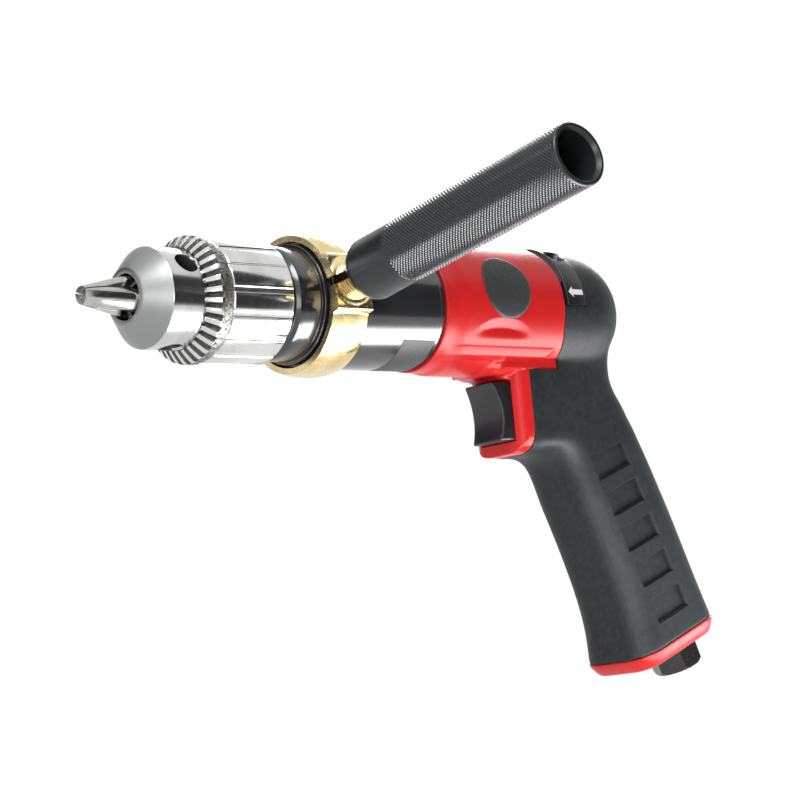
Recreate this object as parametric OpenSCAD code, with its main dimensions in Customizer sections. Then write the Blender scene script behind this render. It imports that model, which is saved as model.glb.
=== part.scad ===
// Pistol grip air drill with a keyed chuck and a side handle.
// The drill axis is X, the chuck points to -X, and +Z is up. The origin is the centre of the chuck's nose face.

/* [Chuck] */
// Radius of the chuck body
chuck_body_r = 17.25; // [16.5:0.25:18]
// Radius of the flat nose face
nose_face_r = 9.6; // [9:0.1:11]
// Length of the nose cone
nose_cone_len = 7.7; // [6:0.1:10]
// Radius of the mouth that the jaws come out of
nose_bore_r = 7.8; // [7.7:0.1:8.4]
// Depth of that mouth
nose_bore_depth = 4; // [3:0.5:6]
// Radius of the passage for a drill's shank
shank_bore_r = 6.6; // [6.4:0.1:7]
// Largest drill that the jaws take
chuck_capacity = 12.7; // [10:0.1:13]
// Radius of a round jaw
jaw_r = 3.9; // [3.5:0.1:4.2]
// Depth of the jaws' toothed backs under the chuck body's surface, at the nut
nut_depth = 3.335; // [3:0.005:3.6]
// Radius of the closed jaws' tip
jaw_tip_r = 3; // [2.6:0.1:3.4]
// How much flatter the cone is that the jaw tips are turned to
jaw_tip_ease = 2; // [1:0.1:3]
// How far the closed jaws stand out of the nose
jaw_overhang = 17.5; // [15:0.5:20]
// Gap between closed jaws
jaw_gap = 0.5; // [0.3:0.1:1]
// Radius of a hole for the chuck key's pilot
key_hole_r = 4; // [3:0.1:4.2]
// Distance of the key holes from the nose face
key_hole_x = 16.2; // [15:0.1:16.6]
// Depth of a key hole
key_hole_depth = 7.5; // [5:0.5:8]
// Angle of the first key hole above the left side
chuck_turn = 35; // [0:1:119]
// Radius of the screw that holds the chuck on the spindle
chuck_screw_r = 3; // [2:0.1:3.5]
// Radius of that screw's head
chuck_screw_head_r = 4.9; // [4.5:0.1:5.5]
// Thickness of the floor under that head
chuck_floor = 4.2; // [3:0.1:6]

/* [Chuck sleeve] */
// How far the sleeve stands out past the chuck body
sleeve_step = 4.25; // [4:0.25:6]
// Distance of the sleeve's toothed end from the nose face
sleeve_front_x = 20.8; // [20.6:0.1:23]
// How far the toothed ring stands out past the sleeve
tooth_ring_step = 0.3; // [0.1:0.1:1]
// Length of the toothed cone
tooth_cone_len = 3.4; // [3:0.1:4]
// Length of the plain rim behind the teeth
tooth_rim_len = 5.1; // [4:0.1:6]
// Number of key teeth
key_teeth = 34; // [28:1:40]
// Width of the gap between two teeth
tooth_gap_w = 2; // [1.2:0.1:2.2]
// Depth of that gap
tooth_gap_d = 1.7; // [1:0.1:2]
// Number of flutes along the sleeve
sleeve_flutes = 16; // [8:1:20]
// Width of a flute
flute_w = 2; // [1:0.1:3]
// Depth of a flute
flute_d = 0.45; // [0.2:0.05:0.6]
// Wall of the sleeve under a flute
sleeve_wall = 1.45; // [1:0.05:2]
// Length of the sleeve's rear lip
sleeve_lip_len = 1.4; // [1:0.1:3]
// Length of the nut that drives the jaws
nut_len = 5; // [4:0.5:6]

/* [Spindle and gears] */
// Radius of the spindle's bearing seats
spindle_r = 7.5; // [7.5:0.5:8]
// Radius of the spindle's chuck thread
spindle_thread_r = 6.35; // [5:0.05:7]
// Length of that thread
spindle_thread_len = 16.8; // [12:0.1:18]
// Module of the gear teeth
gear_module = 0.7; // [0.6:0.05:0.72]
// Teeth of each sun gear
sun_teeth = 12; // [12:6:12]
// Teeth of each planet gear
planet_teeth = 18; // [18:6:18]
// Pressure angle of the teeth
pressure_angle = 25; // [25:1:27]
// Play between teeth
backlash = 0.12; // [0.08:0.01:0.2]
// Width of a planet gear
planet_w = 8; // [6:0.5:10]
// Radius of a planet's pin
planet_pin_r = 2.5; // [1.5:0.1:3]
// Radius of both carriers
carrier_r = 15.3; // [14.5:0.1:15.5]
// Thickness of the spindle's carrier flange
flange_t = 5; // [4:0.5:7]
// Thickness of the first carrier
carrier_t = 4; // [3:0.5:6]

/* [Gear case] */
// Radius of the gear case
case_r = 22; // [21.5:0.1:22.2]
// Radius of its nose
case_nose_r = 20.3; // [19.5:0.1:21]
// Distance from its nose to the shoulder of the collar's seat
case_nose_len = 14.5; // [10:0.5:16]
// Space between the chuck and the gear case
case_gap = 1.5; // [1:0.1:3]
// Length of the seal's seat
seal_len = 2.5; // [2:0.1:4]
// Radius of the seal
seal_r = 13; // [11:0.5:15]
// Radius of the front spindle bearing
front_bearing_r = 17.5; // [16.5:0.5:17.5]
// Width of the front spindle bearing
front_bearing_w = 11; // [9:1:12]
// Radius of the rear spindle bearing
rear_bearing_r = 16; // [15:0.5:16.5]
// Width of the rear spindle bearing
rear_bearing_w = 9; // [8:1:11]
// Length of the spacer between the bearings
bearing_spacer_len = 5; // [3:0.5:8]
// Radius of the bore that holds the ring gear and the motor
motor_bore_r = 19.35; // [19.2:0.05:19.6]
// Radius of the spigot that screws into the housing
spigot_r = 21; // [20.6:0.1:21.2]
// Length of that spigot
spigot_len = 10; // [6:0.5:14]

/* [Side handle] */
// Radius of the clamp collar
collar_r = 25; // [24.5:0.1:27]
// Length of the clamp collar
collar_len = 15.8; // [12:0.1:16]
// Distance of the collar from the chuck's sleeve
collar_gap = 15; // [14:0.5:16]
// Width of the slot that splits the collar
collar_slot_w = 3.2; // [2:0.1:4]
// Angle of the handle above the left side
handle_turn = 9.5; // [-30:0.5:60]
// Radius of the handle
handle_r = 11; // [10:0.25:13]
// Radius of its bore
handle_bore_r = 7.3; // [6.5:0.1:8]
// Distance of its near end from the drill axis
handle_start = 33; // [29:0.1:34]
// Length of the handle
handle_len = 107; // [90:1:130]
// Length of the collar's thread inside the handle
handle_thread_len = 16; // [10:1:24]
// Rounding of the handle's near end
handle_round = 3.2; // [1:0.1:3.4]

/* [Motor] */
// Thickness of both end plates
end_plate_t = 9; // [8:0.5:11]
// Radius of the motor bearings
motor_bearing_r = 11; // [10:0.5:12]
// Width of the motor bearings
motor_bearing_w = 7; // [5:0.5:7]
// Radius of the rotor's shaft
shaft_r = 4; // [3:0.5:4]
// Length of the cylinder
cylinder_len = 40; // [34:1:46]
// Radius of the cylinder's bore
cylinder_bore_r = 15.2; // [14.8:0.1:15.6]
// Distance of that bore from the drill axis
cylinder_offset = 1.4; // [1:0.1:1.5]
// Number of vanes
vane_count = 5; // [4:1:6]
// Thickness of a vane
vane_t = 2; // [1.5:0.1:2.5]
// Depth of a vane
vane_depth = 7.6; // [6:0.1:8]
// Thickness of the spacer behind the gears
gear_spacer_t = 1.5; // [1:0.1:2]

/* [Housing] */
// Radius of the motor housing
housing_r = 23.5; // [23.2:0.1:25]
// Radius of its front rim
housing_front_r = 22.6; // [22.4:0.1:23]
// Length of that rim
housing_rim_len = 6.5; // [4:0.5:12]
// How far the housing's top stands above a round barrel
housing_rise = 2.2; // [0:0.1:3]
// Length of the red housing, from its front rim to the reverse ring
housing_len = 58.1; // [57:0.1:64]
// Wall of the neck around the valve chamber
neck_wall = 3.05; // [2:0.05:4]
// Thickness of the wall behind the motor
bulkhead_t = 4; // [3:0.5:6]
// Length of the hood in front of the trigger frame
hood_len = 11; // [8:0.5:16]
// Wall of the rear cap
rear_cap_wall = 3; // [2:0.5:5]
// Half the width of the red saddle over the grip
saddle_half_w = 14; // [13.5:0.5:16]
// Depth of the saddle below the drill axis
saddle_depth = 22.5; // [21:0.5:24]

/* [Trigger] */
// Distance from the housing's front rim to the trigger frame
frame_x = 39.6; // [38:0.1:43]
// Length of the trigger frame
frame_len = 6; // [4:0.5:8]
// Half the width of the trigger frame
frame_half_w = 13.5; // [12.5:0.25:14.5]
// Depth of the frame's lower edge below the drill axis
frame_depth = 53; // [52.5:0.5:57]
// Rounding of the frame's lower corners
frame_round = 9; // [5:0.5:9.5]
// Rounding of the frame's front corners, seen from above
frame_corner = 5.8; // [3:0.1:7]
// Half the width of the trigger
trigger_half_w = 9; // [7.5:0.5:9.5]
// Half the width of the trigger's front edge
trigger_front_w = 7.1; // [6:0.1:7.4]
// Depth of the trigger's top below the drill axis
trigger_top = 26.5; // [26:0.1:28]
// Height of the trigger
trigger_h = 21.8; // [18:0.1:22.5]
// How far the trigger stands out of its frame
trigger_reach = 8; // [6:0.1:9]
// How much less the trigger's foot stands out than its top
trigger_lean = 2; // [0:0.1:3]
// Depth of the finger hollow in the trigger
trigger_hollow = 2.9; // [1:0.1:3.5]
// Travel of the trigger
trigger_travel = 5; // [3:0.5:5]
// Radius of the trigger's stem
stem_r = 2.2; // [1.5:0.1:2.5]
// Radius of the throttle's bore
throttle_r = 6.65; // [6:0.05:7]
// Wall around the throttle's bore
throttle_wall = 2; // [1.5:0.1:3]
// Length of the throttle bushing
throttle_bushing_len = 8; // [6:0.5:10]
// Length of the throttle seat
throttle_seat_len = 3.8; // [3:0.1:5]
// Thickness of the throttle valve
throttle_valve_t = 3; // [2:0.5:4]
// Length of the throttle spring
spring_len = 14; // [12:0.5:16]
// Turns of the throttle spring
spring_turns = 6; // [4:1:7]
// Radius of the spring's wire
spring_wire_r = 0.5; // [0.3:0.05:0.6]

/* [Reverse] */
// Thickness of the reverse ring
reverse_ring_t = 3.4; // [3:0.1:4]
// Thickness of the reverse valve's disc
valve_t = 5; // [3:0.5:7]
// Radius of a port in that disc
valve_port_r = 2.5; // [1.5:0.1:3]
// Length of the reverse ring
reverse_len = 10.5; // [8:0.5:12]
// Turn of the reverse ring between forward and reverse
reverse_turn = 20; // [10:1:24]
// How far the ring's tabs stand proud
reverse_tab_h = 0.8; // [0.4:0.1:1.5]
// Width of a tab as an angle
reverse_tab_angle = 22; // [12:1:30]
// Radius of the pin that turns the valve
reverse_pin_r = 1.4; // [1:0.1:1.8]
// Angle of that pin above the left side
reverse_pin_turn = 59; // [45:1:75]

/* [Grip] */
// Distance from the housing's front rim to the grip's centre line
grip_x = 63.4; // [61:0.1:67]
// Lean of the grip
grip_lean = 21; // [18:0.5:24]
// Length of the grip cover along its lean
grip_len = 131.5; // [124:0.5:140]
// Depth of the grip in front of its centre line
grip_front = 19.2; // [18.9:0.1:21]
// Depth of the grip behind its centre line
grip_rear = 22; // [21.5:0.1:24]
// Half the width of the grip
grip_half_w = 17; // [16.5:0.1:18.5]
// Corner radius of the grip
grip_round = 11; // [8:0.5:13]
// Flare at the foot of the grip
grip_flare = 5.6; // [3:0.1:7]
// Depth of the recessed pads
pad_depth = 0.7; // [0.3:0.1:1]
// Length of a pad across the grip
pad_len = 18; // [14:0.5:20]
// Height of a pad
pad_h = 9.2; // [7:0.1:11]
// Distance from pad to pad
pad_pitch = 14.6; // [12:0.1:15]
// Distance of the first pad down the grip
pad_start = 55; // [50:0.5:60]
// Number of pads on each side
pad_count = 5; // [3:1:5]
// Depth of the grip's rigid core in front of the centre line
core_front = 16.8; // [15:0.1:17]
// Depth of the core behind the centre line
core_rear = 14.4; // [13:0.1:14.8]
// Half the width of the core
core_half_w = 14; // [13:0.1:14.5]
// Length of the core's wider foot
foot_len = 31.5; // [26:0.5:36]

/* [Base] */
// Height of the base cap
base_h = 5.6; // [4:0.1:8]
// Width of the inlet's hex across its flats
inlet_hex = 17; // [16:0.5:19]
// Height of the hex
inlet_hex_h = 10; // [7:0.5:12]
// Distance of the inlet behind the grip's centre line
inlet_offset = 8; // [7.5:0.1:8.5]
// Radius of the inlet's thread in the grip
inlet_thread_r = 7.6; // [7:0.1:8]
// Length of that thread
inlet_thread_len = 19; // [14:1:24]
// Radius of the threaded hole for an air fitting
inlet_bore_r = 5.7; // [5:0.1:6]
// Depth of that hole
inlet_bore_depth = 14; // [12:1:18]
// Radius of the muffler
muffler_r = 7; // [5:0.1:7.2]
// Length of the muffler
muffler_len = 30; // [20:1:40]
// Radius of the base screws
base_screw_r = 1.5; // [1:0.1:1.7]

/* [Fits] */
// Radial clearance of parts that run on each other
fit_run = 0.05; // [0.03:0.01:0.08]
// Radial clearance of parts that are pressed or screwed together
fit_still = 0.02; // [0.01:0.01:0.03]
// Clearance between faces that pass each other
side_gap = 0.3; // [0.2:0.05:0.4]
// Clearance under the rubber cover
cover_gap = 0.1; // [0.05:0.05:0.2]

/* [Hidden] */
$fn = 64;
many = 400;
over = 1;

// Chuck
rim_x = sleeve_front_x + tooth_cone_len;
nut_x = rim_x + 0.2;
nut_end = nut_x + nut_len;
sleeve_r = chuck_body_r + sleeve_step;
tooth_ring_r = sleeve_r + tooth_ring_step;
jaw_angle = atan((chuck_body_r - nut_depth - jaw_tip_r) / (nut_x + jaw_overhang));
jaw_tip_slope = jaw_angle - jaw_tip_ease;
jaw_travel = chuck_capacity / 2 / sin(jaw_angle);
sleeve_bore_r = chuck_body_r + fit_run;
jaw_room_r = sleeve_r - flute_d - sleeve_wall;
jaw_back_r = jaw_room_r - side_gap - chuck_capacity / 2;
lip_x = nut_end + jaw_travel * cos(jaw_angle) + side_gap;
sleeve_end = lip_x + sleeve_lip_len;
chuck_len = sleeve_end + 1.5;
groove_r = jaw_line(nut_x) - 1.4;
socket_x = chuck_len - spindle_thread_len;
floor_x = socket_x - chuck_floor;
screw_head_len = floor_x - nut_end - 2;
sleeve_x = rim_x + tooth_rim_len;
function jaw_line(x) = jaw_tip_r + (x + jaw_overhang) * tan(jaw_angle);

// Gear train, from the front to the back
case_x = chuck_len + case_gap;
front_bearing_x = case_x + seal_len;
spacer_x = front_bearing_x + front_bearing_w;
rear_bearing_x = spacer_x + bearing_spacer_len;
flange_x = rear_bearing_x + rear_bearing_w + 0.5;
output_x = flange_x + flange_t + side_gap;
carrier_x = output_x + planet_w + side_gap;
first_x = carrier_x + carrier_t + side_gap;
ring_x = flange_x + flange_t;
ring_end = first_x + planet_w + side_gap;
plate_x = ring_end + gear_spacer_t;
ring_teeth = sun_teeth + 2 * planet_teeth;
sun_r = gear_module * sun_teeth / 2;
planet_r = gear_module * planet_teeth / 2;
ring_r = gear_module * ring_teeth / 2;
planet_orbit = sun_r + planet_r;
addendum = gear_module;
dedendum = 1.25 * gear_module;
pilot_r = sun_r - dedendum - 0.6;
pinion_seat_r = sun_r - dedendum - 1;

// Motor
cylinder_x = plate_x + end_plate_t;
rear_plate_x = cylinder_x + cylinder_len;
bulkhead_x = rear_plate_x + end_plate_t;
liner_r = motor_bore_r - 0.05;
rotor_r = cylinder_bore_r - cylinder_offset - 0.2;
bearing_lip = 0.8;
inner_ring_t = 1.6;
plate_floor = end_plate_t - motor_bearing_w;

// Housing
collar_x = sleeve_end + collar_gap;
collar_mid = collar_x + collar_len / 2;
case_end = collar_x + collar_len + 39.1;
housing_end = case_end + housing_len;
chamber_x = bulkhead_x + bulkhead_t;
ring_start = housing_end + 0.5;
reverse_end = ring_start + reverse_len;
neck_end = reverse_end + 0.2;
dome_x = neck_end + 6.4;
neck_r = housing_r - reverse_ring_t - fit_run;
frame_root = 0.64 * housing_r;
chamber_r = neck_r - neck_wall;
cap_r = housing_r - 2.9;
tube_r = neck_r + 1.15;
valve_len = neck_end - chamber_x - 3;
band_low = 0;
band_high = 180;

// Trigger and throttle
frame_front = case_end + frame_x;
frame_end = frame_front + frame_len;
frame_mid = frame_front + frame_len / 2;
trigger_mid = trigger_top + trigger_h / 2;
trigger_depth = trigger_reach + frame_len - 0.5;
pocket_end = frame_front - trigger_reach + trigger_depth + trigger_travel + 0.5;
seat_x = pocket_end + throttle_bushing_len;
valve_x = seat_x + throttle_seat_len + 0.05;
spring_x = valve_x + throttle_valve_t;
throttle_end = spring_x + spring_len + side_gap;
throttle_depth = trigger_mid + throttle_r + throttle_wall;
spring_r = throttle_r - 1.6;

// Grip
grip_axis_x = case_end + grip_x;
core_start = 18;
foot_start = grip_len - foot_len;
foot_front = core_front + 0.6;
foot_rear = core_rear + 5;
foot_half_w = core_half_w + 0.7;
base_front = grip_front + grip_flare;
base_rear = grip_rear + 0.6;
base_half_w = grip_half_w + 0.8;
muffler_offset = inlet_offset - inlet_thread_r - muffler_r - 1.5;
screw_y = foot_half_w - 3.6;
screw_len = 16;

// The grip's sections: place along the grip, depth in front, depth behind, half width
GRIP = [for (s = [
    [0.06, 7.3, 3, -2.7],
    [0.18, 14.7, 1.6, -2.3],
    [0.21, 16, -0.9, -2.1],
    [0.24, 17.2, -3, -1.9],
    [0.265, 18.2, -3.6, -1.8],
    [0.305, 19.6, -3.2, -1.6],
    [0.325, 18.4, -2.9, -1.3],
    [0.338, 13.3, -2.8, -1.2],
    [0.351, 8.6, -2.8, -1],
    [0.368, 5.1, -2.7, -0.9],
    [0.39, 2.6, -2.6, -0.5],
    [0.415, 1.5, -2.4, -0.2],
    [0.45, 1.1, -2.2, 0],
    [0.503, 1.1, -1.5, 0],
    [0.58, 0.6, -0.8, 0],
    [0.69, 0.3, 0, 0],
    [0.80, 0.7, 0.4, 0],
    [0.90, 0.4 * grip_flare, 0.6, 0.2],
    [1, grip_flare, 0.6, 0.8]])
    [s[0] * grip_len, grip_front + s[1], grip_rear + s[2], grip_half_w + s[3]]];

// Helpers
module on_axis(x = 0) {
    translate([x, 0, 0]) rotate([0, 90, 0]) children();
}

// A solid turned about the drill axis from points of place and radius
module turned(points, fn = 96) {
    rotate([0, 90, 0]) rotate_extrude($fn = fn) polygon([for (p = points) [p[1], p[0]]]);
}

module tube(x0, x1, outer, inner) {
    turned([[x0, inner], [x0, outer], [x1, outer], [x1, inner]]);
}

module rod(x0, x1, r) {
    on_axis(x0) cylinder(h = x1 - x0, r = r);
}

// Turns children about the drill axis: 0 faces the left side, 90 faces up
module facing(angle) {
    rotate([-angle, 0, 0]) rotate([90, 0, 0]) children();
}

// Frame of the grip: x to the rear, z down along the lean
module in_grip() {
    translate([grip_axis_x, 0, 0]) rotate([0, -grip_lean, 0]) rotate([180, 0, 0]) children();
}

module rounded(x0, x1, half_w, r) {
    translate([x0 + r, -half_w]) square([x1 - x0 - 2 * r, 2 * half_w]);
    translate([x0, -half_w + r]) square([x1 - x0, 2 * half_w - 2 * r]);
    for (x = [x0 + r, x1 - r], y = [-half_w + r, half_w - r]) translate([x, y]) circle(r);
}

function inv(a) = tan(a) * 180 / PI - a;
function flank(r, base, half) = half + inv(pressure_angle) - (r > base ? inv(acos(base / r)) : 0);

// Involute gear outline; slack is taken off each tooth's thickness
module gear_outline(teeth, tip, root, slack) {
    pitch = gear_module * teeth / 2;
    base = pitch * cos(pressure_angle);
    half = 90 / teeth - slack / 2 / pitch * 180 / PI;
    low = max(root, base);
    steps = 3;
    radii = concat([root], [for (i = [0:steps]) low + (tip - low) * i / steps]);
    polygon([for (t = [0:teeth - 1], side = [-1, 1], i = [0:steps + 1])
        let (r = radii[side < 0 ? i : steps + 1 - i], a = 360 * t / teeth + side * flank(r, base, half))
        r * [cos(a), sin(a)]]);
}

module planet(x, index) {
    on_axis(x) rotate(120 * index) translate([planet_orbit, 0]) rotate(180 / planet_teeth)
        linear_extrude(planet_w) difference() {
            gear_outline(planet_teeth, planet_r + addendum, planet_r - dedendum, backlash);
            circle(planet_pin_r + fit_run);
        }
}

module planet_pins(x0, x1) {
    for (i = [0:2]) on_axis(x0) rotate(120 * i) translate([planet_orbit, 0])
        cylinder(h = x1 - x0, r = planet_pin_r);
}

module planet_pin_holes(x0, x1) {
    for (i = [0:2]) on_axis(x0) rotate(120 * i) translate([planet_orbit, 0])
        cylinder(h = x1 - x0, r = planet_pin_r + fit_still);
}

// Bearing rings: the outer one carries the shields
module bearing_outer(x, w, outer, bore) {
    shield_r = bore + inner_ring_t + 0.15;
    race_r = outer - 2;
    turned([[x, shield_r], [x, outer], [x + w, outer], [x + w, shield_r], [x + w - bearing_lip, shield_r],
            [x + w - bearing_lip, race_r], [x + bearing_lip, race_r], [x + bearing_lip, shield_r]]);
}

module bearing_inner(x, w, bore) {
    tube(x, x + w, bore + inner_ring_t, bore + fit_still);
}

// Chuck
// Leans the jaw's own frame: z along the jaw to the rear, from the closed tip
module jaw_lean() {
    translate([-jaw_overhang + jaw_r * sin(jaw_angle), 0, jaw_tip_r - jaw_r * cos(jaw_angle)])
        rotate([0, 90 - jaw_angle, 0]) children();
}

module jaw(index) {
    color("gainsboro") facing(chuck_turn + 60 + 120 * index) intersection() {
        jaw_lean() translate([0, 0, -many / 8]) cylinder(h = many / 4, r = jaw_r);
        translate([-jaw_overhang, 0, 0]) rotate([90, 0, 90]) linear_extrude(nut_end + jaw_overhang)
            polygon([[0, jaw_gap / sqrt(3)], [many * sin(60), many * cos(60) + jaw_gap / sqrt(3)],
                     [-many * sin(60), many * cos(60) + jaw_gap / sqrt(3)]]);
        turned([[-jaw_overhang, 0], [-jaw_overhang, jaw_tip_r + 0.2],
                [many, jaw_tip_r + 0.2 + (many + jaw_overhang) * tan(jaw_tip_slope)], [many, 0]]);
        translate([0, 0, -chuck_capacity / 2]) rod(-many, many, jaw_back_r + chuck_capacity / 2);
    }
}

module chuck_body() {
    color("silver") difference() {
        turned([[0, 0], [0, nose_face_r], [nose_cone_len, chuck_body_r], [nut_x - 0.2, chuck_body_r],
                [nut_x - 0.2, groove_r], [nut_end + 0.2, groove_r], [nut_end + 0.2, chuck_body_r],
                [chuck_len, chuck_body_r], [chuck_len, 0]]);
        rod(-over, nose_bore_depth, nose_bore_r);
        rod(-over, floor_x, shank_bore_r);
        rod(floor_x - over, socket_x + over, chuck_screw_r + 0.2);
        rod(socket_x, chuck_len + over, spindle_thread_r + fit_still);
        for (i = [0:2]) {
            facing(chuck_turn + 60 + 120 * i) jaw_lean() translate([0, 0, -many / 8])
                cylinder(h = many / 2, r = jaw_r + fit_run);
            facing(chuck_turn + 120 * i) translate([key_hole_x, 0, chuck_body_r - key_hole_depth])
                cylinder(h = key_hole_depth + over, r = key_hole_r);
        }
    }
}

module chuck_screw() {
    color("dimgray") difference() {
        turned([[floor_x - screw_head_len, 0], [floor_x - screw_head_len, chuck_screw_head_r],
                [floor_x, chuck_screw_head_r], [floor_x, chuck_screw_r], [chuck_len - 3, chuck_screw_r],
                [chuck_len - 3, 0]]);
        rod(floor_x - screw_head_len - over, floor_x - screw_head_len / 3, 0.5 * chuck_screw_head_r);
    }
}

module chuck_sleeve() {
    tooth_angle = atan((tooth_ring_r - sleeve_bore_r - 0.5) / tooth_cone_len);
    color("lightgray") difference() {
        turned([[sleeve_front_x, sleeve_bore_r], [sleeve_front_x, sleeve_bore_r + 0.5], [rim_x, tooth_ring_r],
                [sleeve_x - 0.4, tooth_ring_r], [sleeve_x, sleeve_r], [sleeve_end - 0.6, sleeve_r],
                [sleeve_end, sleeve_r - 0.6], [sleeve_end, sleeve_bore_r], [lip_x, sleeve_bore_r],
                [lip_x, jaw_room_r], [nut_end + 0.2, jaw_room_r], [nut_end + 0.2, sleeve_bore_r]]);
        for (i = [0:key_teeth - 1]) facing(360 * i / key_teeth)
            translate([sleeve_front_x, -tooth_gap_w / 2, sleeve_bore_r + 0.5]) rotate([0, -tooth_angle, 0])
                translate([-3, 0, -tooth_gap_d]) cube([3 + tooth_cone_len / cos(tooth_angle), tooth_gap_w, tooth_ring_r]);
        for (i = [0:sleeve_flutes - 1]) facing(360 * (i + 0.5) / sleeve_flutes)
            translate([sleeve_x + 0.6, -flute_w / 2, sleeve_r - flute_d])
                cube([sleeve_end - sleeve_x, flute_w, 2 * flute_d]);
    }
}

module chuck_nut() {
    color("dimgray") turned([[nut_x, jaw_line(nut_x) + 0.15], [nut_x, chuck_body_r + fit_run - fit_still],
                             [nut_end, chuck_body_r + fit_run - fit_still], [nut_end, jaw_line(nut_end) + 0.15]]);
}

// Spindle and gears
module spindle() {
    color("silver") difference() {
        turned([[socket_x + 0.2, 0], [socket_x + 0.2, spindle_thread_r], [chuck_len, spindle_thread_r],
                [chuck_len, spindle_r], [flange_x - 0.5, spindle_r], [flange_x - 0.5, spindle_r + 2],
                [flange_x, spindle_r + 2], [flange_x, carrier_r], [flange_x + flange_t, carrier_r],
                [flange_x + flange_t, 0]]);
        rod(socket_x - over, chuck_len - 1, chuck_screw_r + fit_still);
        rod(flange_x + 0.5, flange_x + flange_t + over, pilot_r + fit_run);
        planet_pin_holes(flange_x + 0.8, flange_x + flange_t + over);
    }
}

module output_planet_pins() {
    color("dimgray") planet_pins(flange_x + 0.8, carrier_x - side_gap);
}

module first_planet_pins() {
    color("dimgray") planet_pins(carrier_x + 0.5, ring_end - side_gap);
}

module ring_gear() {
    color("gray") on_axis(ring_x) linear_extrude(ring_end - ring_x) difference() {
        circle(motor_bore_r - fit_still);
        rotate(180 / ring_teeth) gear_outline(ring_teeth, ring_r + dedendum, ring_r - 0.9 * addendum, -backlash);
    }
}

module first_carrier() {
    color("silver") {
        difference() {
            rod(carrier_x, carrier_x + carrier_t, carrier_r);
            planet_pin_holes(carrier_x + 0.5, carrier_x + carrier_t + over);
        }
        on_axis(output_x) linear_extrude(planet_w + side_gap + 0.1)
            gear_outline(sun_teeth, sun_r + addendum, sun_r - dedendum, backlash);
        rod(flange_x + 1, output_x + 0.1, pilot_r);
    }
}

module motor_pinion() {
    color("silver") on_axis(first_x) linear_extrude(planet_w) difference() {
        gear_outline(sun_teeth, sun_r + addendum, sun_r - dedendum, backlash);
        circle(pinion_seat_r + fit_still);
    }
}

module bearing_spacer() {
    color("gray") tube(spacer_x, rear_bearing_x, spindle_r + inner_ring_t, spindle_r + fit_still);
}

module gear_spacer() {
    color("gray") tube(ring_end, plate_x, motor_bore_r - fit_still, motor_bearing_r - 2);
}

module spindle_seal() {
    color("black") tube(case_x + 0.2, front_bearing_x, seal_r, spindle_r + fit_run);
}

// Gear case, with the seats of the bearings, the ring gear and the handle collar
module gear_case() {
    shoulder_x = case_x + case_nose_len;
    color("#1c1c1e") turned([
        [case_x, seal_r + fit_still], [case_x, case_nose_r - 1.5], [case_x + 1.5, case_nose_r],
        [shoulder_x, case_nose_r], [shoulder_x, case_r], [case_end, case_r], [case_end, spigot_r],
        [case_end + spigot_len, spigot_r], [case_end + spigot_len, motor_bore_r], [ring_x, motor_bore_r],
        [ring_x, rear_bearing_r + 1], [rear_bearing_x + rear_bearing_w, rear_bearing_r + 1],
        [rear_bearing_x + rear_bearing_w, rear_bearing_r + fit_still], [spacer_x, rear_bearing_r + fit_still],
        [spacer_x, front_bearing_r + fit_still], [front_bearing_x, front_bearing_r + fit_still],
        [front_bearing_x, seal_r + fit_still]]);
}

// Side handle and its split collar
module in_handle() {
    translate([collar_mid, 0, 0]) facing(handle_turn) children();
}

module handle_collar() {
    crown = 0.5;
    bore = case_r + fit_run;
    boss_r = handle_bore_r - fit_run;
    color("#c9a24a") difference() {
        union() {
            turned([[collar_x, bore - over], [collar_x, collar_r - crown], [collar_x + 1.5, collar_r],
                    [collar_x + collar_len - 1.5, collar_r], [collar_x + collar_len, collar_r - crown],
                    [collar_x + collar_len, bore - over]]);
            in_handle() cylinder(h = handle_start + handle_thread_len, r = boss_r);
            in_handle() cylinder(h = collar_r + 2.5, r1 = collar_len / 2 + 12, r2 = boss_r);
        }
        rod(collar_x - many / 4, collar_x + many / 4, bore);
        rod(collar_x - many / 4, collar_x, many / 4);
        rod(collar_x + collar_len, collar_x + many / 4, many / 4);
        in_handle() translate([-many / 4, -collar_slot_w / 2, 0])
            cube([many / 2, collar_slot_w, handle_start + handle_thread_len + over]);
    }
}

module side_handle() {
    end = handle_start + handle_len;
    rim = (handle_r - handle_bore_r) / 2;
    color("#2b2c2e") in_handle() rotate_extrude()
        polygon([[handle_bore_r, handle_start], [handle_r - handle_round, handle_start],
                 [handle_r, handle_start + handle_round], [handle_r, end - 0.6], [handle_r - 0.6, end],
                 [handle_bore_r + rim, end], [handle_bore_r, end - 1.5 * rim]]);
}

// Motor
module front_end_plate() {
    color("darkgray") turned([
        [plate_x, motor_bearing_r + fit_still], [plate_x, liner_r], [cylinder_x, liner_r],
        [cylinder_x, shaft_r + 1], [cylinder_x - plate_floor, shaft_r + 1],
        [cylinder_x - plate_floor, motor_bearing_r + fit_still]]);
}

module rear_end_plate() {
    color("darkgray") turned([
        [rear_plate_x, shaft_r + 1], [rear_plate_x, liner_r], [bulkhead_x, liner_r],
        [bulkhead_x, motor_bearing_r + fit_still], [rear_plate_x + plate_floor, motor_bearing_r + fit_still],
        [rear_plate_x + plate_floor, shaft_r + 1]]);
}

module cylinder_liner() {
    color("gray") difference() {
        rod(cylinder_x, rear_plate_x, liner_r);
        translate([0, 0, cylinder_offset]) rod(cylinder_x - over, rear_plate_x + over, cylinder_bore_r);
        for (i = [-1:1]) translate([cylinder_x + cylinder_len / 2 + 10 * i, 0, -many / 4])
            cylinder(h = many / 4, r = 3);
    }
}

module vane_slots(depth, t, x0, x1) {
    for (i = [0:vane_count - 1]) rotate([360 * i / vane_count, 0, 0])
        translate([x0, -t / 2, rotor_r - depth]) cube([x1 - x0, t, depth + over]);
}

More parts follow.
